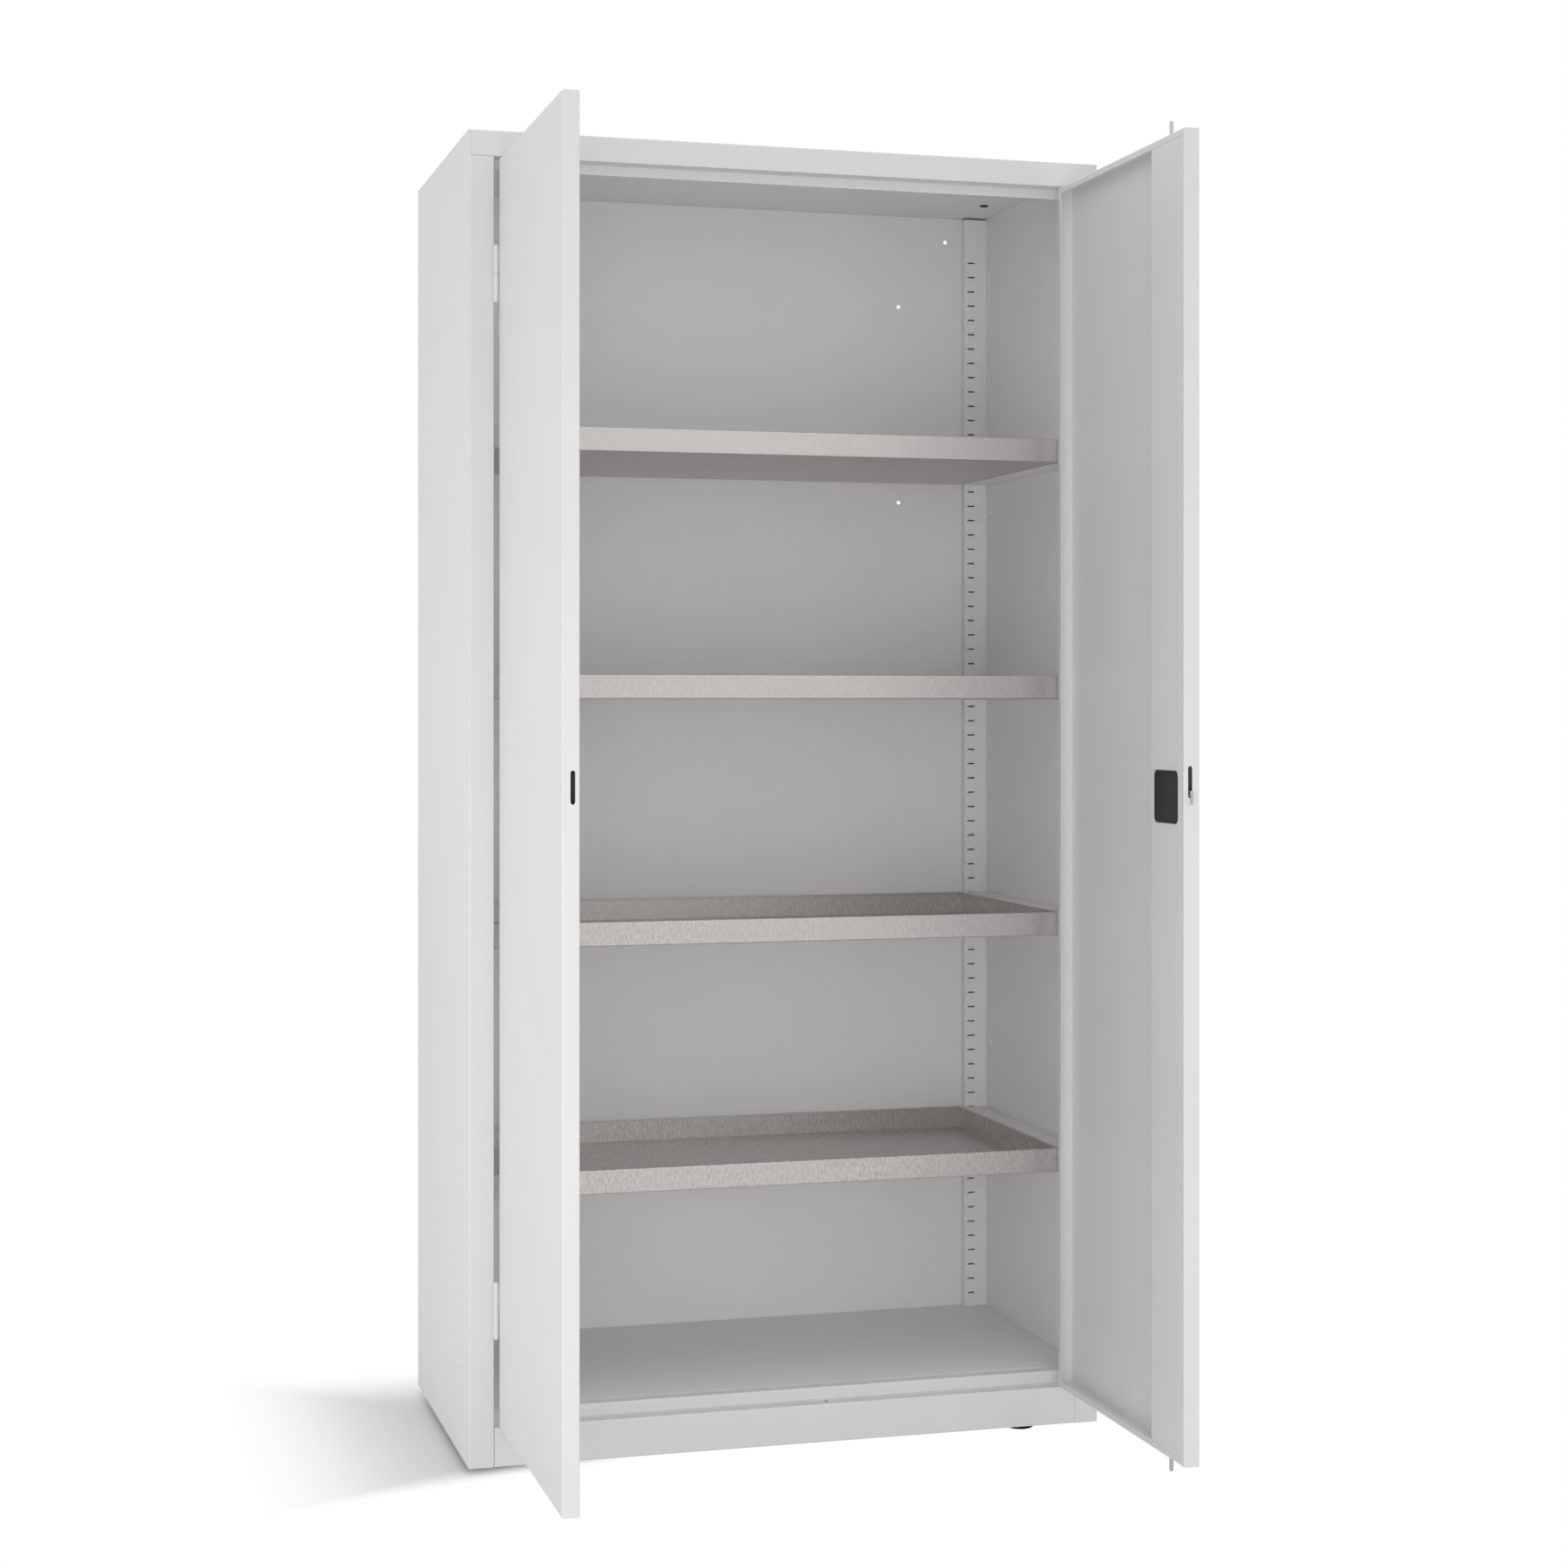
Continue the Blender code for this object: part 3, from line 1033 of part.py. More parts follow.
def build_hook(pivot, edge):
    """The hook that swings out of the closing edge, on a pin in its bracket."""
    middle = OUTER_FACE + EDGE_SLOT_DEPTH
    pin_x = edge + HOOK_PIVOT_INSET
    pin_z = EDGE_SLOT_Z + HOOK_PIVOT_RISE
    half = HOOK_THICKNESS / 2
    cheek = half + HOOK_SIDE_CLEARANCE

    inner_edge = edge + SHEET + FIT_GAP
    base = pin_x + HOOK_BRACKET_REACH
    bm = bmesh.new()
    points = [(inner_edge, middle - cheek - HOOK_BRACKET_SHEET),
              (base, middle - cheek - HOOK_BRACKET_SHEET),
              (base, middle + cheek + HOOK_BRACKET_SHEET),
              (inner_edge, middle + cheek + HOOK_BRACKET_SHEET)]
    outline = folded_outline(points, HOOK_BRACKET_SHEET, (HOOK_BRACKET_SHEET + SHEET,) * 2)
    add_prism(bm, outline, 2, pin_z - HOOK_BRACKET_HEIGHT / 2, pin_z + HOOK_BRACKET_HEIGHT / 2)
    bracket = add_solid("hook_bracket", bm, STEEL_COLOUR, METAL_FINISH, pivot)
    pin = bmesh.new()
    add_prism(pin, circle((pin_x, pin_z), HOOK_PIN_RADIUS, ROUND_STEPS), 1,
              middle - cheek - HOOK_BRACKET_SHEET / 2, middle + cheek + HOOK_BRACKET_SHEET / 2)
    join(bracket, pin)

    turning = add_pivot("hook_latch_pivot", (pin_x, middle, pin_z))
    turning.parent = pivot
    tip = HOOK_PIVOT_INSET + HOOK_PROUD
    outline = hook_outline(tip)
    bm = bmesh.new()
    add_prism(bm, outline, 1, -half, half)
    hook = add_solid("hook_latch", bm, STEEL_COLOUR, METAL_FINISH, turning)
    bore = bmesh.new()
    add_prism(bore, circle((0, 0), HOOK_PIN_RADIUS + FIT_GAP, ROUND_STEPS), 1,
              -half - CUT_OVERRUN, half + CUT_OVERRUN)
    cut(hook, bore)


def hook_outline(tip):
    """The hook's outline round its pin: a round boss, a bar towards -x, and a beak pointing down."""
    start = math.asin(HOOK_BAR_TOP / HOOK_BOSS_RADIUS)
    end = -(math.pi - math.asin(HOOK_BAR_BOTTOM / HOOK_BOSS_RADIUS))
    points = []
    for step in range(HINGE_STEPS + 1):
        angle = start + (end - start) * step / HINGE_STEPS
        points.append((HOOK_BOSS_RADIUS * math.cos(angle), HOOK_BOSS_RADIUS * math.sin(angle)))
    points.append((HOOK_BEAK - tip, -HOOK_BAR_BOTTOM))
    points.append((HOOK_BEAK - tip, -HOOK_BEAK_DROP))
    points.append((-tip, -HOOK_BEAK_DROP))
    points.append((-tip, HOOK_BAR_TOP - HOOK_BEAK))
    points.append((HOOK_BEAK - tip, HOOK_BAR_TOP))
    return points


def build_cabinet():
    for name in SIDES:
        build_side_panel(name)
        build_rear_upright(name)
        build_base_rail(name)
        build_roof_plug(name)
        for row, y in foot_rows().items():
            build_foot(name + "_" + row + "_foot", SIDES[name] * (HALF_WIDTH - FOOT_INSET), y)
    build_back_panel()
    build_top_panel()
    build_floor_panel()
    build_shelves()
    for name, side in SIDES.items():
        pivot = add_pivot(name + "_door_pivot", (side * DOOR_AXIS_X, AXIS_Y, 0),
                          side * math.pi / 2)
        build_door(name, pivot)
        build_stiffener(name, pivot)
        for level in HINGE_SPLITS:
            build_hinge(name, level, pivot)
        if name == "right":
            build_lock(pivot)


for leftover in list(bpy.data.objects):
    bpy.data.objects.remove(leftover, do_unlink=True)
build_cabinet()
bpy.context.view_layer.update()
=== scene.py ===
import math

import bmesh
import bpy
import numpy as np
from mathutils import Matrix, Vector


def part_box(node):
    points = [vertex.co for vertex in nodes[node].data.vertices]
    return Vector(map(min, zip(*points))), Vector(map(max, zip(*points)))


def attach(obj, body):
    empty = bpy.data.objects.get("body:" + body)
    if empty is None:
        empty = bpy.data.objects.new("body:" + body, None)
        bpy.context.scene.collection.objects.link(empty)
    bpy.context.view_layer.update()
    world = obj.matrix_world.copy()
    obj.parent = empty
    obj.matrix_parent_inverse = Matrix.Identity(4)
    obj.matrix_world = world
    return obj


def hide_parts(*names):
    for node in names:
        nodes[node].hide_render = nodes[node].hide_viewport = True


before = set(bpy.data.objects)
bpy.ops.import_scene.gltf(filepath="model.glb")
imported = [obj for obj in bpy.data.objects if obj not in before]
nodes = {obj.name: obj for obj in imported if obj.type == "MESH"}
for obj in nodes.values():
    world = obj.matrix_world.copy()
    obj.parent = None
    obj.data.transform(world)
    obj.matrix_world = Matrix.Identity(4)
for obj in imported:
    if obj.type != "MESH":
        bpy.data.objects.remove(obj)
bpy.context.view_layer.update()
MM = 0.001


# The studio
# A pale paper floor that burns out to a white surround, as in a catalogue photograph. The camera
# stands level and left of the cabinet, with the verticals kept upright. The lamps are soft: from
# the left and the front, one high up that draws the floor shadow, and a faint fill in the doorway.
PHOTO_SIZE = 1800
FOCAL_PIXELS = 3025.678
OPTICAL_CENTRE = (824.0, 802.958)
SENSOR_MM = 36.0
CAMERA_FROM_CORNER = (-657.656, -3854.398, 1137.158)
CAMERA_TURN = 15.08
CLIP_END = 60
SKY_STRENGTH = 0.68

front_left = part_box("left_side_panel")[0]

lens = bpy.data.cameras.new("photo_camera")
lens.sensor_width = SENSOR_MM
lens.lens = FOCAL_PIXELS / PHOTO_SIZE * SENSOR_MM
lens.shift_x = 0.5 - OPTICAL_CENTRE[0] / PHOTO_SIZE
lens.shift_y = OPTICAL_CENTRE[1] / PHOTO_SIZE - 0.5
lens.clip_end = CLIP_END
camera = bpy.data.objects.new("photo_camera", lens)
camera.location = [front_left[axis] + CAMERA_FROM_CORNER[axis] * MM for axis in range(3)]
camera.rotation_euler = (math.radians(90), 0, -math.radians(CAMERA_TURN))
bpy.context.scene.collection.objects.link(camera)
bpy.context.scene.camera = camera
bpy.context.scene.view_settings.view_transform = "Standard"


def linear(hex_colour):
    """An sRGB hex colour as linear RGBA: each channel by the sRGB transfer curve."""
    channels = [int(hex_colour[start:start + 2], 16) / 255 for start in (1, 3, 5)]
    return (*(c / 12.92 if c <= 0.04045 else ((c + 0.055) / 1.055) ** 2.4 for c in channels), 1.0)


def add_node(tree, kind, settings=None, inputs=None):
    """A node with its settings, and its inputs set to values or linked from sockets."""
    node = tree.nodes.new(kind)
    for key, value in (settings or {}).items():
        setattr(node, key, value)
    for key, value in (inputs or {}).items():
        if isinstance(value, bpy.types.NodeSocket):
            tree.links.new(value, node.inputs[key])
        else:
            node.inputs[key].default_value = value
    return node


world = bpy.data.worlds.new("studio")
bpy.context.scene.world = world
world.use_nodes = True
world.node_tree.nodes.clear()
sky = world.node_tree
rays = add_node(sky, "ShaderNodeLightPath")
through_glass = add_node(sky, "ShaderNodeMath", {"operation": "MAXIMUM"}, {
    0: rays.outputs["Is Camera Ray"], 1: rays.outputs["Is Transmission Ray"]})
seen = add_node(sky, "ShaderNodeMath", {"operation": "MAXIMUM"}, {
    0: through_glass.outputs[0], 1: rays.outputs["Is Glossy Ray"]})
even_sky = add_node(sky, "ShaderNodeBackground", None, {
    "Color": (1, 1, 1, 1), "Strength": SKY_STRENGTH})
white_surround = add_node(sky, "ShaderNodeBackground", None, {"Color": (1, 1, 1, 1), "Strength": 1})
surround = add_node(sky, "ShaderNodeMixShader", None, {
    0: seen.outputs[0], 1: even_sky.outputs[0], 2: white_surround.outputs[0]})
add_node(sky, "ShaderNodeOutputWorld", None, {0: surround.outputs[0]})


def add_lamp(name, place, target, size, watts, height=None):
    """A white area lamp at a place, turned to look at a target; square unless it has a height.

    It shows neither to the camera nor in reflections: metal mirrors the white surround instead.
    """
    light = bpy.data.lights.new(name, "AREA")
    light.shape = "RECTANGLE"
    light.size = size
    light.size_y = height or size
    light.energy = watts
    lamp = bpy.data.objects.new(name, light)
    lamp.location = place
    away = np.array(place, float) - np.array(target, float)
    turn = math.atan2(away[0], -away[1])
    tilt = math.atan2(math.hypot(away[0], away[1]), away[2])
    lamp.rotation_euler = (tilt, 0, turn)
    lamp.visible_camera = False
    lamp.visible_glossy = False
    bpy.context.scene.collection.objects.link(lamp)


add_lamp("left_softbox", (-1.9, -0.55, 0.8), (-0.46, -0.1, 1.0), 1.2, 5.3)
add_lamp("front_softbox", (0.3, -3.8, 2.0), (0, 0, 1.0), 2.0, 5.5)
add_lamp("front_left_softbox", (-1.1, -2.4, 1.0), (0.2, 0, 1.0), 1.0, 2.0)
add_lamp("low_front_softbox", (-0.5, -2.6, 0.5), (0, 0, 0.8), 1.2, 11)
add_lamp("high_top_light", (0.45, 0.0, 8.0), (0.1, 0, 0), 1.1, 130)
add_lamp("doorway_fill", (0, 0.036, 1.0), (0, 0.5, 1.0), 0.88, 1.35, 1.84)

FLOOR_REACH = 14.0
PAPER_COLOUR = "#e9e9e9"
# The ways in which the shadow fades to white over the floor, and in metres along each, where it
# starts to fade and where it is gone.
SHADOW_FADES = (((1, 0, 0), -0.5, -0.84), ((1, 0, 0), 0.47, 0.53), ((0, 1, 0), 0.36, 0.64),
                ((-0.25, 1, 0), 0.16, 0.07))
corners = np.array([(-1, -1, 0), (1, -1, 0), (1, 1, 0), (-1, 1, 0)], float) * FLOOR_REACH
floor_mesh = bpy.data.meshes.new("studio_floor")
floor_mesh.from_pydata(corners.tolist(), [], [(0, 1, 2, 3)])
studio_floor = bpy.data.objects.new("studio_floor", floor_mesh)
bpy.context.scene.collection.objects.link(studio_floor)
paper = bpy.data.materials.new("white_seamless_paper")
paper.use_nodes = True
paper.node_tree.nodes.clear()
sheet = paper.node_tree
rays = add_node(sheet, "ShaderNodeLightPath")
matt = add_node(sheet, "ShaderNodeBsdfDiffuse", None, {"Color": linear(PAPER_COLOUR)})
spot = add_node(sheet, "ShaderNodeTexCoord").outputs["Object"]
cleared = None
for direction, fade_start, clear_from in SHADOW_FADES:
    along = add_node(sheet, "ShaderNodeVectorMath", {"operation": "DOT_PRODUCT"},
                     {0: spot, 1: direction})
    fade = add_node(sheet, "ShaderNodeMapRange", {"interpolation_type": "SMOOTHSTEP"}, {
        "Value": along.outputs["Value"], "From Min": fade_start, "From Max": clear_from})
    if cleared:
        fade = add_node(sheet, "ShaderNodeMath", {"operation": "MAXIMUM"},
                        {0: cleared.outputs[0], 1: fade.outputs[0]})
    cleared = fade
shown = add_node(sheet, "ShaderNodeMath", {"operation": "MULTIPLY"},
                 {0: rays.outputs["Is Camera Ray"], 1: cleared.outputs[0]})
burnt_out = add_node(sheet, "ShaderNodeEmission", None, {"Strength": 1.0})
paper_end = add_node(sheet, "ShaderNodeMixShader", None, {
    0: shown.outputs[0], 1: matt.outputs[0], 2: burnt_out.outputs[0]})
add_node(sheet, "ShaderNodeOutputMaterial", None, {0: paper_end.outputs[0]})
studio_floor.data.materials.append(paper)


# Carcass sheets
# Side walls, back, roof with header and floor with plinth, each folded from 1 mm cold-rolled
# steel and powder-coated light grey after folding. The coat is satin, with the faint orange peel
# that such a coat has.
def new_material(name):
    """A material with an empty tree but for its Principled shader, and both of them."""
    made = bpy.data.materials.new(name)
    made.use_nodes = True
    return made, made.node_tree, made.node_tree.nodes["Principled BSDF"]


MOTTLE_SIZE = 160 * MM
PEEL_SIZE = 2 * MM
PEEL_DEPTH = 0.05 * MM


def powder_coat(name, light, dark):
    """Polyester powder coat on steel: satin, with orange peel of about 2 mm and a faint mottle.

    Real orange peel is nearer 1 mm; it is drawn at 2 mm so that it shows at all.
    """
    made, tree, shader = new_material(name)
    place = add_node(tree, "ShaderNodeTexCoord").outputs["Object"]
    mottle = add_node(tree, "ShaderNodeTexNoise", None,
                      {"Vector": place, "Scale": 1 / MOTTLE_SIZE, "Detail": 3.0})
    shade = add_node(tree, "ShaderNodeMix", {"data_type": "RGBA"}, {
        0: mottle.outputs[0], 6: linear(dark), 7: linear(light)})
    peel = add_node(tree, "ShaderNodeTexNoise", None,
                    {"Vector": place, "Scale": 1 / PEEL_SIZE, "Detail": 1.5})
    relief = add_node(tree, "ShaderNodeBump", None, {
        "Strength": 0.25, "Distance": PEEL_DEPTH, "Height": peel.outputs[0]})
    gloss = add_node(tree, "ShaderNodeMapRange", None, {
        "Value": peel.outputs[0], "To Min": 0.42, "To Max": 0.52})
    tree.links.new(shade.outputs[2], shader.inputs["Base Color"])
    tree.links.new(gloss.outputs[0], shader.inputs["Roughness"])
    tree.links.new(relief.outputs[0], shader.inputs["Normal"])
    return made


def dress(names, finish):
    """Give CAD nodes a finish in all their material slots."""
    for name in names:
        for slot in nodes[name].material_slots:
            slot.material = finish


light_grey_coat = powder_coat("light_grey_powder_coat", "#eae9e9", "#e5e4e5")
dress([side + piece for side in ("left", "right")
       for piece in ("_side_panel", "_rear_upright", "_base_rail")], light_grey_coat)
dress(["back_panel", "top_panel", "floor_panel"], light_grey_coat)
dress([name for name in nodes if name.endswith("_rail") and name.startswith("shelf")],
      light_grey_coat)


# Wall-fixing dimples
# The back sheet is pressed into a shallow dimple round each of its six wall-fixing holes, so
# that a screw head sits level. They carry the same coat as the sheet.
def skin(name, bodies, closed=False):
    """One mesh from closed bodies, each an array of rings: (rings, points round, 3).

    Neighbouring rings are joined by quads. With closed=True the last ring joins the first, as on
    a tyre; otherwise the first and last rings are filled.
    """
    points, faces, start = [], [], 0
    for rings in bodies:
        rings = np.asarray(rings, float)
        count, around = rings.shape[:2]
        index = np.arange(count * around).reshape(count, around) + start
        low = index if closed else index[:-1]
        high = np.roll(index, -1, 0) if closed else index[1:]
        quads = np.stack([low, np.roll(low, -1, 1), np.roll(high, -1, 1), high], -1)
        faces += quads.reshape(-1, 4).tolist()
        if not closed:
            faces += [index[0][::-1].tolist(), index[-1].tolist()]
        points.append(rings.reshape(-1, 3))
        start += count * around
    mesh = bpy.data.meshes.new(name)
    mesh.from_pydata(np.concatenate(points).tolist(), [], faces)
    shell = bmesh.new()
    shell.from_mesh(mesh)
    bmesh.ops.recalc_face_normals(shell, faces=shell.faces[:])
    shell.to_mesh(mesh)
    shell.free()
    piece = bpy.data.objects.new(name, mesh)
    bpy.context.scene.collection.objects.link(piece)
    return piece


def finish_piece(piece, finish, body, sharp=35):
    """Give a new piece its material, body and slot, smooth but for edges over the sharp angle."""
    piece.data.materials.append(finish)
    piece.data.shade_smooth()
    piece.data.set_sharp_from_angle(angle=math.radians(sharp))
    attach(piece, body)


def turned_ring(profile, centre, along, steps):
    """A profile of (radius, height) points turned round an axis through a centre.

    Point = centre + radius * (u cos a + v sin a) + height * along, for a full turn of a.
    """
    along = np.array(along, float)
    u = np.roll(along, 1)
    v = np.cross(along, u)
    angles = np.arange(steps) * math.tau / steps
    circle = np.cos(angles)[:, None] * u + np.sin(angles)[:, None] * v
    profile = np.array(profile, float)
    return (np.array(centre, float) + profile[:, 0, None, None] * circle
            + profile[:, 1, None, None] * along)


# Each hole's place in mm, on both sides: in from the side, and up from the side panel's foot.
BACK_HOLES = ((73, 1937), (159, 1821), (159, 1480))
HOLE_RADIUS = 3.5 * MM
DIMPLE_RADIUS = 8.5 * MM
DIMPLE_RISE = 0.5 * MM
DIMPLE_STEPS = 24
INTO_SHEET = 0.02 * MM
back_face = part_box("back_panel")[0].y
left_edge = front_left.x
base_z = front_left.z
turn = np.linspace(0, math.pi, 9)
crown = np.stack([(HOLE_RADIUS + DIMPLE_RADIUS) / 2
                  - np.cos(turn) * (DIMPLE_RADIUS - HOLE_RADIUS) / 2,
                  np.sin(turn) * DIMPLE_RISE], 1)
rings = [turned_ring(crown, (way * (left_edge + inset * MM), back_face + INTO_SHEET,
                             base_z + height * MM), (0, -1, 0), DIMPLE_STEPS)
         for inset, height in BACK_HOLES for way in (-1, 1)]
finish_piece(skin("wall_fixing_dimples", rings, closed=True), light_grey_coat, "carcass",
             60)


# Roof plugs
# Push-in plugs of black polyethylene close the two lifting holes in the roof. Their skirt shows
# from inside the cabinet as a dark disc with the hole's bright pressed collar round it.
GRAIN_DEPTH = 0.06 * MM


def moulded_plastic(name, colour, rough, grain_mm):
    """Injection-moulded plastic: dull, with the fine spark-eroded grain of its tool."""
    made, tree, shader = new_material(name)
    place = add_node(tree, "ShaderNodeTexCoord").outputs["Object"]
    grain = add_node(tree, "ShaderNodeTexNoise", None,
                     {"Vector": place, "Scale": 1 / (grain_mm * MM), "Detail": 2.0})
    relief = add_node(tree, "ShaderNodeBump", None, {
        "Strength": 0.35, "Distance": GRAIN_DEPTH, "Height": grain.outputs[0]})
    gloss = add_node(tree, "ShaderNodeMapRange", None, {
        "Value": grain.outputs[0], "To Min": rough - 0.06, "To Max": rough + 0.08})
    tree.links.new(gloss.outputs[0], shader.inputs["Roughness"])
    tree.links.new(relief.outputs[0], shader.inputs["Normal"])
    shader.inputs["Base Color"].default_value = linear(colour)
    return made


black_plastic = moulded_plastic("black_moulded_plastic", "#262425", 0.5, 1.2)
dress(["left_roof_plug", "right_roof_plug"], black_plastic)
COLLAR_INNER = 7.4 * MM
COLLAR_OUTER = 9.6 * MM
COLLAR_DROP = 0.9 * MM
COLLAR_STEPS = 32
# The roof's sheet, and a hair's clearance under it.
ROOF_TO_COLLAR = 1.02 * MM
roof_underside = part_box("top_panel")[1].z - ROOF_TO_COLLAR
round_off = np.linspace(0, math.pi, 7)
section = np.stack([(COLLAR_INNER + COLLAR_OUTER) / 2
                    + np.cos(round_off) * (COLLAR_OUTER - COLLAR_INNER) / 2,
                    np.sin(round_off) * COLLAR_DROP], 1)
collars = []
for name in ("left_roof_plug", "right_roof_plug"):
    low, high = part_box(name)
    middle = (low + high) / 2
    collars.append(turned_ring(section, (middle.x, middle.y, roof_underside), (0, 0, -1),
                               COLLAR_STEPS))
finish_piece(skin("lifting_hole_collars", collars, closed=True), light_grey_coat, "carcass",
             60)


# Feet
# Levelling feet: a ribbed pad and hexagon of glass-filled nylon moulded round a threaded stud,
# locked by a zinc-plated nut under the base rail.
CLOUD_SIZE = 6 * MM


def plated_steel(name, colour, rough):
    """Steel, bright zinc plated: clear metal with a faint cloudiness of about 6 mm."""
    made, tree, shader = new_material(name)
    place = add_node(tree, "ShaderNodeTexCoord").outputs["Object"]
    cloud = add_node(tree, "ShaderNodeTexNoise", None,
                     {"Vector": place, "Scale": 1 / CLOUD_SIZE, "Detail": 4.0})
    gloss = add_node(tree, "ShaderNodeMapRange", None, {
        "Value": cloud.outputs[0], "To Min": rough - 0.08, "To Max": rough + 0.12})
    shader.inputs["Base Color"].default_value = linear(colour)
    shader.inputs["Metallic"].default_value = 1.0
    tree.links.new(gloss.outputs[0], shader.inputs["Roughness"])
    return made


zinc_plate = plated_steel("bright_zinc_plated_steel", "#c9c9ca", 0.32)
PAD_RADIUS = 22 * MM
PAD_HEIGHT = 6 * MM
PAD_RIBS = 24
PAD_RIB_DEPTH = 0.7 * MM
PAD_STEPS = PAD_RIBS * 4
PAD_SKIRT_FROM = 0.6
HEX_FLATS = 13.6 * MM
HEX_HEIGHT = 7 * MM
HEX_INTO_PAD = 0.6 * MM
HEX_CHAMFER = 0.5 * MM
STUD_RADIUS = 4.9 * MM
STUD_INTO_HEX = 1 * MM
THREAD_DEPTH = 0.6 * MM
THREAD_PITCH = 1.5 * MM
THREAD_STEPS = 20
NUT_FLATS = 15 * MM
NUT_HEIGHT = 5 * MM
NUT_BORE = 5.15 * MM
NUT_CHAMFER = 0.8 * MM
NUT_CLEAR = 0.2 * MM


def ribbed_pad(centre):
    """The pad: radius = outline - rib depth * (1 - cos(ribs * angle)) / 2 round its skirt."""
    share = np.array([0.05, 0.93, 1.0, 1.0, 0.9, 0.62, 0.42, 0.40])
    height = np.array([0.0, 0.0, 0.12, 0.42, 0.66, 0.86, 0.98, 1.0]) * PAD_HEIGHT
    angle = np.arange(PAD_STEPS) * math.tau / PAD_STEPS
    dent = (share > PAD_SKIRT_FROM)[:, None] * PAD_RIB_DEPTH * (1 - np.cos(PAD_RIBS * angle)) / 2
    radius = share[:, None] * PAD_RADIUS - dent
    return np.stack([centre[0] + radius * np.cos(angle), centre[1] + radius * np.sin(angle),
                     np.broadcast_to(height[:, None], radius.shape) + centre[2]], -1)


def hexagon(centre, flats, bottom, top, chamfer):
    """A chamfered hexagon: six points round at four heights, the outer two drawn in."""
    corner = flats / 2 / math.cos(math.pi / 6)
    outline = [(corner - chamfer, bottom), (corner, bottom + chamfer), (corner, top - chamfer),
               (corner - chamfer, top)]
    return turned_ring(outline, centre, (0, 0, 1), 6)


def thread(centre, bottom, top):
    """A threaded stud as ridges: the radius falls and rises once a pitch, and ends tapered."""
    crests = np.arange(int((top - bottom) / THREAD_PITCH * 2) + 1)
    height = bottom + crests * THREAD_PITCH / 2
    radius = STUD_RADIUS - (crests % 2) * THREAD_DEPTH
    radius[[0, -1]] = STUD_RADIUS - THREAD_DEPTH
    return turned_ring(np.stack([radius, height], 1), centre, (0, 0, 1), THREAD_STEPS)


rail_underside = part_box("left_base_rail")[0].z
for name in ("left_front_foot", "left_rear_foot", "right_front_foot", "right_rear_foot"):
    low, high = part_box(name)
    middle = (low.x + high.x) / 2, (low.y + high.y) / 2, low.z
    hex_top = PAD_HEIGHT + HEX_HEIGHT
    pad = skin(name + "_pad", [ribbed_pad(middle)])
    finish_piece(pad, black_plastic, "carcass", 40)
    hexagon_piece = skin(name + "_hexagon", [hexagon(
        middle, HEX_FLATS, PAD_HEIGHT - HEX_INTO_PAD, hex_top, HEX_CHAMFER)])
    finish_piece(hexagon_piece, black_plastic, "carcass", 20)
    stud = skin(name + "_stud", [thread(middle, hex_top - STUD_INTO_HEX, high.z - low.z)])
    finish_piece(stud, zinc_plate, "carcass", 20)
    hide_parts(name)
    nut_top = rail_underside - low.z - NUT_CLEAR
    outer = NUT_FLATS / 2 / math.cos(math.pi / 6)
    outline = [(NUT_BORE, -NUT_HEIGHT), (outer - NUT_CHAMFER, -NUT_HEIGHT),
               (outer, NUT_CHAMFER - NUT_HEIGHT), (outer, -NUT_CHAMFER),
               (outer - NUT_CHAMFER, 0), (NUT_BORE, 0)]
    nut = turned_ring(outline, (middle[0], middle[1], low.z + nut_top), (0, 0, 1), 6)
    finish_piece(skin(name + "_lock_nut", [nut], closed=True), zinc_plate, "carcass",
                 20)


# Tray shelves
# Galvanised steel trays, folded on all four sides with a hemmed rim and left unpainted. The
# rolled strip was brushed along its length, which leaves short streaks front to back on the
# tray's floor and up and down its front.
STREAK_WIDE = 3 * MM
STREAK_LONG = 9 * MM
STREAK_DEPTH = 0.05 * MM
PATCH_SIZE = 180 * MM
LOWEST_TRAY_Z = 0.4
HIGHEST_TRAY_Z = 1.5


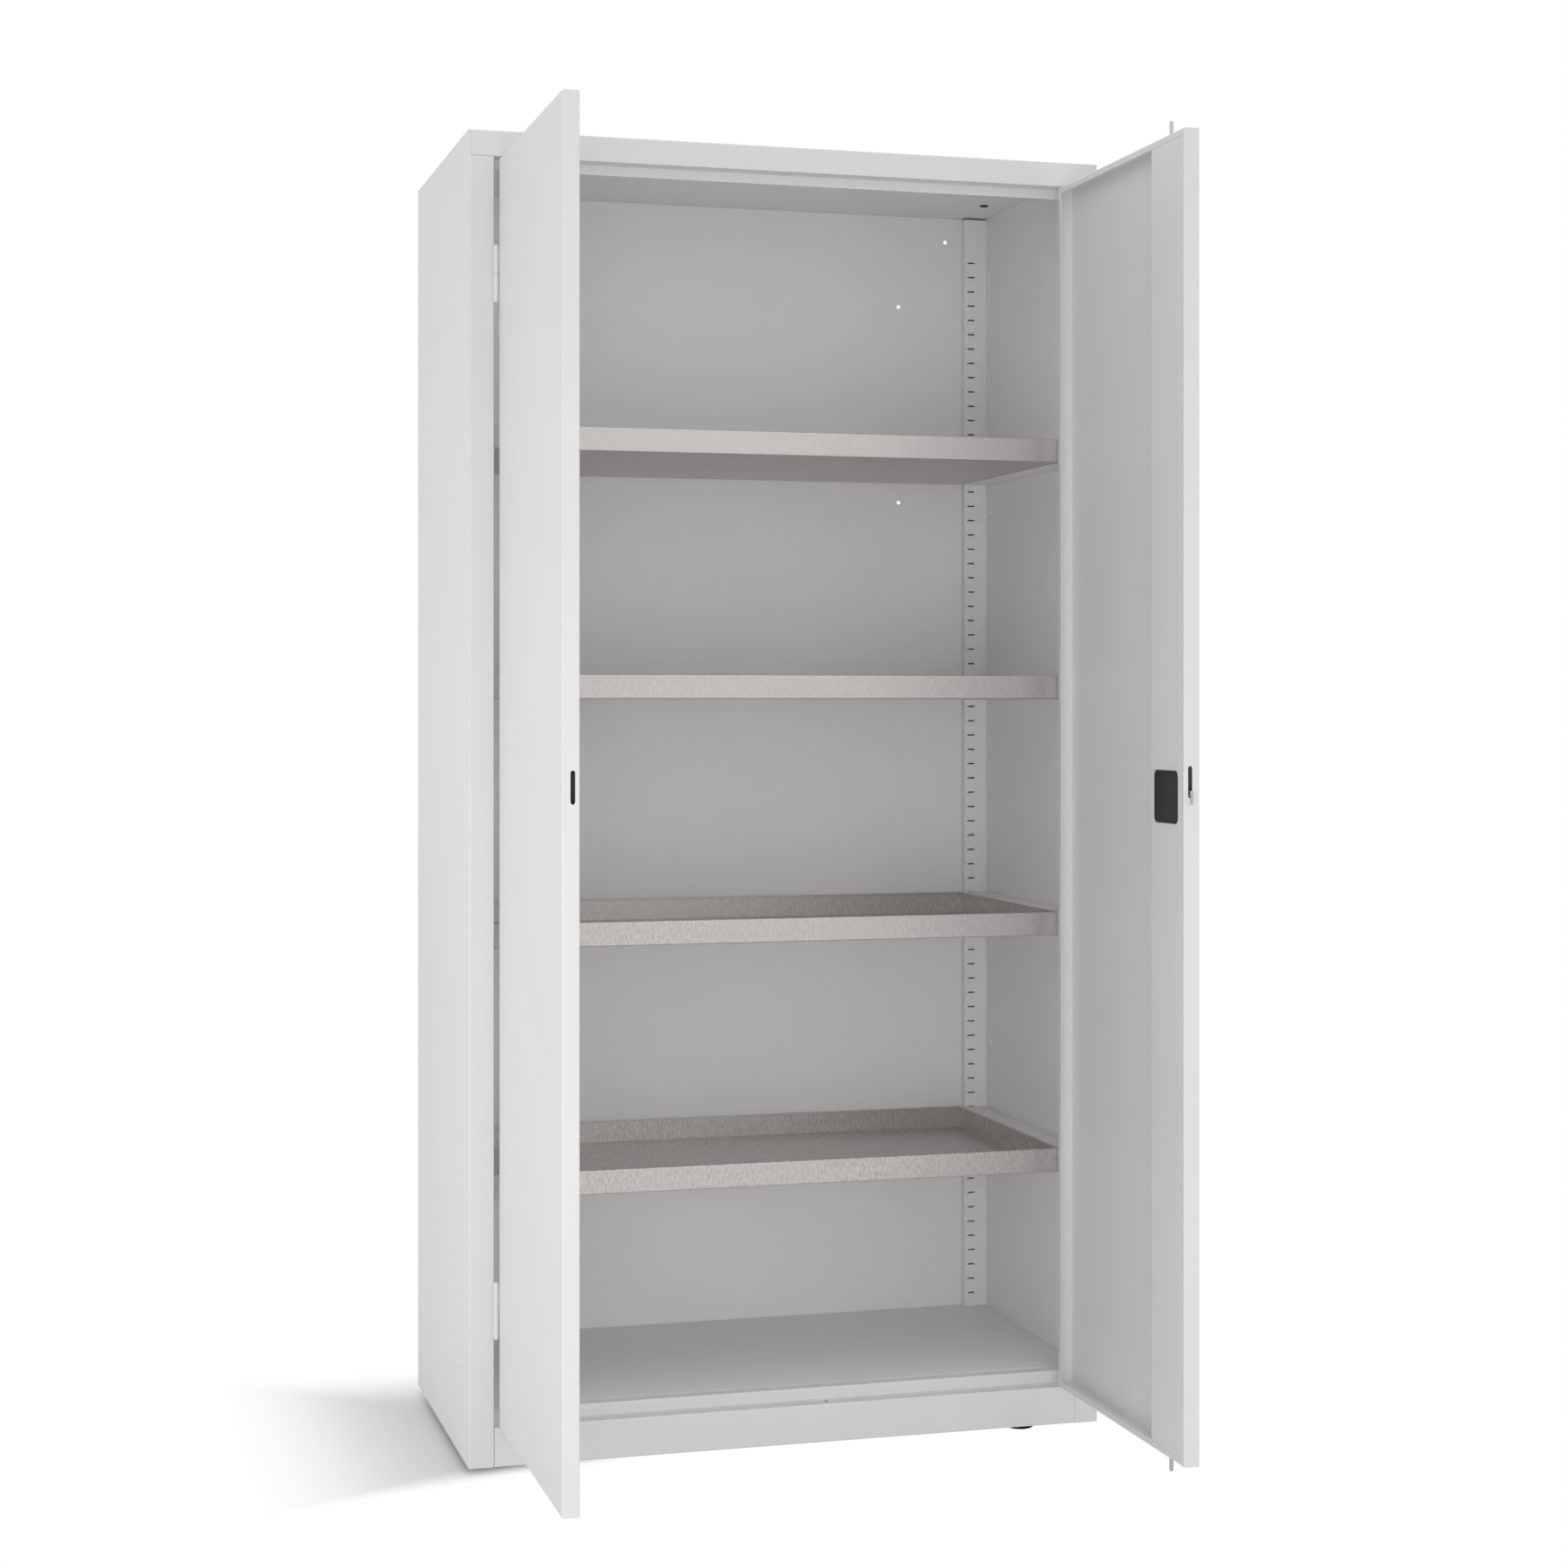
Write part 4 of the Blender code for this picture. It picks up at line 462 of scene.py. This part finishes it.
def brushed_galvanised(name):
    """Galvanised steel: a satin zinc skin with faint short streaks, 3 mm by 9 mm.

    The streaks come and go in patches and are strongest on the lowest tray, as in the photo.
    """
    made, tree, shader = new_material(name)
    place = add_node(tree, "ShaderNodeTexCoord").outputs["Object"]
    stretch = add_node(tree, "ShaderNodeMapping", None, {
        "Vector": place, "Scale": (1 / STREAK_WIDE, 1 / STREAK_LONG, 1 / STREAK_LONG)})
    streak = add_node(tree, "ShaderNodeTexNoise", None, {
        "Vector": stretch.outputs[0], "Scale": 1.0, "Detail": 3.0, "Roughness": 0.6})
    height = add_node(tree, "ShaderNodeSeparateXYZ", None, {0: place}).outputs["Z"]
    lower = add_node(tree, "ShaderNodeMapRange", None, {
        "Value": height, "From Min": LOWEST_TRAY_Z, "From Max": HIGHEST_TRAY_Z,
        "To Min": 0.9, "To Max": 0.2})
    patch = add_node(tree, "ShaderNodeTexNoise", None, {
        "Vector": place, "Scale": 1 / PATCH_SIZE, "Detail": 1.0})
    share = add_node(tree, "ShaderNodeMath", {"operation": "MULTIPLY"}, {
        0: lower.outputs[0], 1: patch.outputs[0]})
    tone = add_node(tree, "ShaderNodeValToRGB", None, {0: streak.outputs[0]})
    tone.color_ramp.elements[0].position = 0.34
    tone.color_ramp.elements[0].color = linear("#b3afac")
    tone.color_ramp.elements[1].position = 0.66
    tone.color_ramp.elements[1].color = linear("#ede9e6")
    zinc = add_node(tree, "ShaderNodeMix", {"data_type": "RGBA"}, {
        0: share.outputs[0], 6: linear("#d3cfcd"), 7: tone.outputs[0]})
    gloss = add_node(tree, "ShaderNodeMapRange", None, {
        "Value": streak.outputs[0], "From Min": 0.3, "From Max": 0.7,
        "To Min": 0.47, "To Max": 0.40})
    relief = add_node(tree, "ShaderNodeBump", None, {
        "Strength": 0.08, "Distance": STREAK_DEPTH, "Height": streak.outputs[0]})
    shader.inputs["Metallic"].default_value = 1.0
    tree.links.new(zinc.outputs[2], shader.inputs["Base Color"])
    tree.links.new(gloss.outputs[0], shader.inputs["Roughness"])
    tree.links.new(relief.outputs[0], shader.inputs["Normal"])
    return made


galvanised = brushed_galvanised("brushed_galvanised_steel")
trays = ["shelf_1", "shelf_2", "shelf_3", "shelf_4"]
dress(trays, galvanised)
TRAY_SHEET = 1.2 * MM
TAB_SHEET = 1.2 * MM
TAB_EDGE_FROM = TAB_SHEET * 0.7
TAB_END = 3 * MM
TAB_BULGE = 9 * MM
TAB_HOLE_CLEAR = 1.5 * MM
TAB_OFF_WALL = 0.02 * MM
TAB_OFF_FLOOR = 0.1 * MM
TAB_DRAWN_IN = 0.25 * MM


def corner_tab(corner_x, face_y, bottom, top, side, way):
    """A tab on a tray's end wall: width = end + bulge * sin(pi * height share), rounded over.

    Three outlines, one on the wall and two towards a sheet's thickness off it, the last drawn in
    a little at the curved edge. side is the way out to the corner, way the way off the wall.
    """
    share = np.linspace(0, 1, 17)
    rings = []
    for off, inset in ((TAB_OFF_WALL, 0), (TAB_EDGE_FROM, 0), (TAB_SHEET, TAB_DRAWN_IN)):
        width = TAB_END - inset + TAB_BULGE * np.sin(np.pi * share)
        across = np.concatenate([corner_x - side * width, np.full(2, corner_x)])
        up = np.concatenate([bottom + share * (top - bottom), (top, bottom)])
        rings.append(np.stack([across, np.full(len(across), face_y + way * off), up], 1))
    return np.stack(rings)


for name in trays:
    low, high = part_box(name)
    tabs = [corner_tab(corner_x, face_y, low.z + TRAY_SHEET + TAB_OFF_FLOOR,
                       high.z - TRAY_SHEET - TAB_HOLE_CLEAR, side, way)
            for side, corner_x in ((-1, low.x + TRAY_SHEET), (1, high.x - TRAY_SHEET))
            for way, face_y in ((-1, high.y - TRAY_SHEET), (1, low.y + TRAY_SHEET))]
    finish_piece(skin(name + "_corner_tabs", tabs), galvanised, "carcass", 30)


# Doors
# Two pans of the carcass's powder-coated sheet, folded on four sides with inward lips. A channel
# is spot-welded along each closing edge to stiffen it.
dress([side + piece for side in ("left", "right") for piece in ("_door", "_door_stiffener")],
      light_grey_coat)


# Hinges
# Lift-off barrel hinges welded into the gap between stile and door before coating, so that they
# carry the cabinet's own coat.
dress([name for name in nodes if "_hinge_" in name], light_grey_coat)


# Lock
# A three-point lock: its case, rods, bracket and hook are zinc-plated steel, riveted to the door.
# Its cover is a snap-on moulding of black plastic with rounded edges and a face that sinks a
# little from its rim, and the rods run in guides of the same plastic.
dress(["lock_case", "upper_lock_rod", "lower_lock_rod", "hook_latch", "hook_bracket"], zinc_plate)
dress(["upper_rod_guide", "lower_rod_guide"], black_plastic)
COVER_CORNER = 8 * MM
COVER_EDGE = 0.9 * MM
COVER_SINK = 0.35 * MM
COVER_RIM = 3.2 * MM
COVER_RIM_SLOPE = 0.5 * MM
LEAST_CORNER = 0.2 * MM


def rounded_outline(half_width, half_height, corner, inset, steps=8):
    """A rectangle's outline with round corners, drawn in by an inset: quarter arcs in order."""
    angle = np.linspace(0, math.pi / 2, steps + 1)
    radius = max(corner - inset, LEAST_CORNER)
    points = []
    for quarter, (across, up) in enumerate(((1, 1), (-1, 1), (-1, -1), (1, -1))):
        turn = angle + quarter * math.pi / 2
        points.append(np.stack([across * (half_width - inset - radius) + radius * np.cos(turn),
                                up * (half_height - inset - radius) + radius * np.sin(turn)], 1))
    return np.concatenate(points)


low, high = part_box("lock_cover")
half_height = (high.z - low.z) / 2
half_depth = (high.y - low.y) / 2
round_off = np.linspace(0, math.pi / 2, 5)
levels = [(0, 0)] + list(zip(COVER_EDGE * (1 - np.cos(round_off)),
                             high.x - low.x - COVER_EDGE * (1 - np.sin(round_off))))
levels += [(COVER_RIM - COVER_RIM_SLOPE, high.x - low.x), (COVER_RIM, high.x - low.x - COVER_SINK)]
rings = []
for inset, rise in levels:
    outline = rounded_outline(half_depth, half_height, COVER_CORNER, inset)
    rings.append(np.stack([np.full(len(outline), high.x - rise),
                           (low.y + high.y) / 2 + outline[:, 0],
                           (low.z + high.z) / 2 + outline[:, 1]], 1))
cover = skin("lock_cover_moulding", [rings])
finish_piece(cover, black_plastic, "right_door", 50)
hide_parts("lock_cover")


# Handle
# A swing lever moulded in black glass-filled nylon round a steel spindle, on a round rose that
# hides its fixing screws.
LEVER_THICK = 8 * MM
LEVER_WIDE = 12 * MM
LEVER_NARROW = 8 * MM
LEVER_SQUARENESS = 2.6
SPINDLE_RADIUS = 4 * MM
NECK_RADIUS = 9.4 * MM
NECK_BELOW_FACE = LEVER_THICK * 0.6
# The neck's outline in mm: its radius, and the height above the door's skin.
NECK_OUTLINE = ((4, -1.5), (10.9, 0.2), (9.4, 4), (8.4, 6))
NECK_STEPS = 36
ROSE_BORE = 11.5 * MM
ROSE_BORE_EDGE = 0.6 * MM
ROSE_RIM_EDGE = 0.5 * MM
ROSE_RIM_ROUNDING = 1.6 * MM
ROSE_STEPS = 48


def lever_body(centre_y, top, bottom, outer, rings=56, around=40):
    """The lever: rings of section |y / a|^2.6 + |x / b|^2.6 = 1 down its length.

    Their half width runs from wide to narrow, and rounds off at both ends by the share
    sqrt(1 - (1 - distance from the end / end radius)^2). Their half thickness rounds off nearer
    the ends, by (1.6 * that share)^0.7 where it is under 1.
    """
    run = (1 - np.cos(np.linspace(0, math.pi, rings))) / 2
    height = top - run * (top - bottom)
    taper = LEVER_WIDE + (LEVER_NARROW - LEVER_WIDE) * run
    to_end = np.minimum((top - height) / LEVER_WIDE, (height - bottom) / LEVER_NARROW)
    round_off = np.sqrt(np.clip(1 - (1 - np.clip(to_end, 0.002, 1)) ** 2, 0, 1))
    half_wide = taper * round_off
    half_thick = LEVER_THICK / 2 * np.minimum(1, round_off * 1.6) ** 0.7
    angle = np.arange(around) * math.tau / around
    power = 2 / LEVER_SQUARENESS
    across = np.sign(np.cos(angle)) * np.abs(np.cos(angle)) ** power
    thick = np.sign(np.sin(angle)) * np.abs(np.sin(angle)) ** power
    return np.stack([outer - LEVER_THICK / 2 + half_thick[:, None] * thick,
                     centre_y + half_wide[:, None] * across,
                     np.broadcast_to(height[:, None], (rings, around))], -1)


low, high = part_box("lock_handle")
rose_low, rose_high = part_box("handle_rose")
spindle_y = (low.y + high.y) / 2
spindle_z = (rose_low.z + rose_high.z) / 2
lever = skin("handle_lever", [lever_body(spindle_y, high.z, low.z, high.x)])
finish_piece(lever, black_plastic, "handle", 60)
neck_end = high.x - NECK_BELOW_FACE - low.x
skin_at = rose_low.x - low.x
outline = [(SPINDLE_RADIUS, 0)]
outline += [(radius * MM, skin_at + rise * MM) for radius, rise in NECK_OUTLINE]
outline += [(NECK_RADIUS, neck_end)]
neck = turned_ring(outline, (low.x, spindle_y, spindle_z), (1, 0, 0), NECK_STEPS)
neck_piece = skin("handle_neck", [neck])
finish_piece(neck_piece, black_plastic, "handle", 35)
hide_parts("lock_handle")
rose_radius = (rose_high.z - rose_low.z) / 2
rose_thick = rose_high.x - rose_low.x
outline = [(ROSE_BORE, 0), (rose_radius, 0), (rose_radius, rose_thick * 0.3),
           (rose_radius - ROSE_RIM_EDGE, rose_thick * 0.7),
           (rose_radius - ROSE_RIM_ROUNDING, rose_thick),
           (ROSE_BORE + ROSE_BORE_EDGE, rose_thick), (ROSE_BORE, rose_thick * 0.8)]
rose = turned_ring(outline, (rose_low.x, spindle_y, spindle_z), (1, 0, 0), ROSE_STEPS)
rose_piece = skin("handle_rose_moulding", [rose], closed=True)
finish_piece(rose_piece, black_plastic, "right_door", 35)
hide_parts("handle_rose")
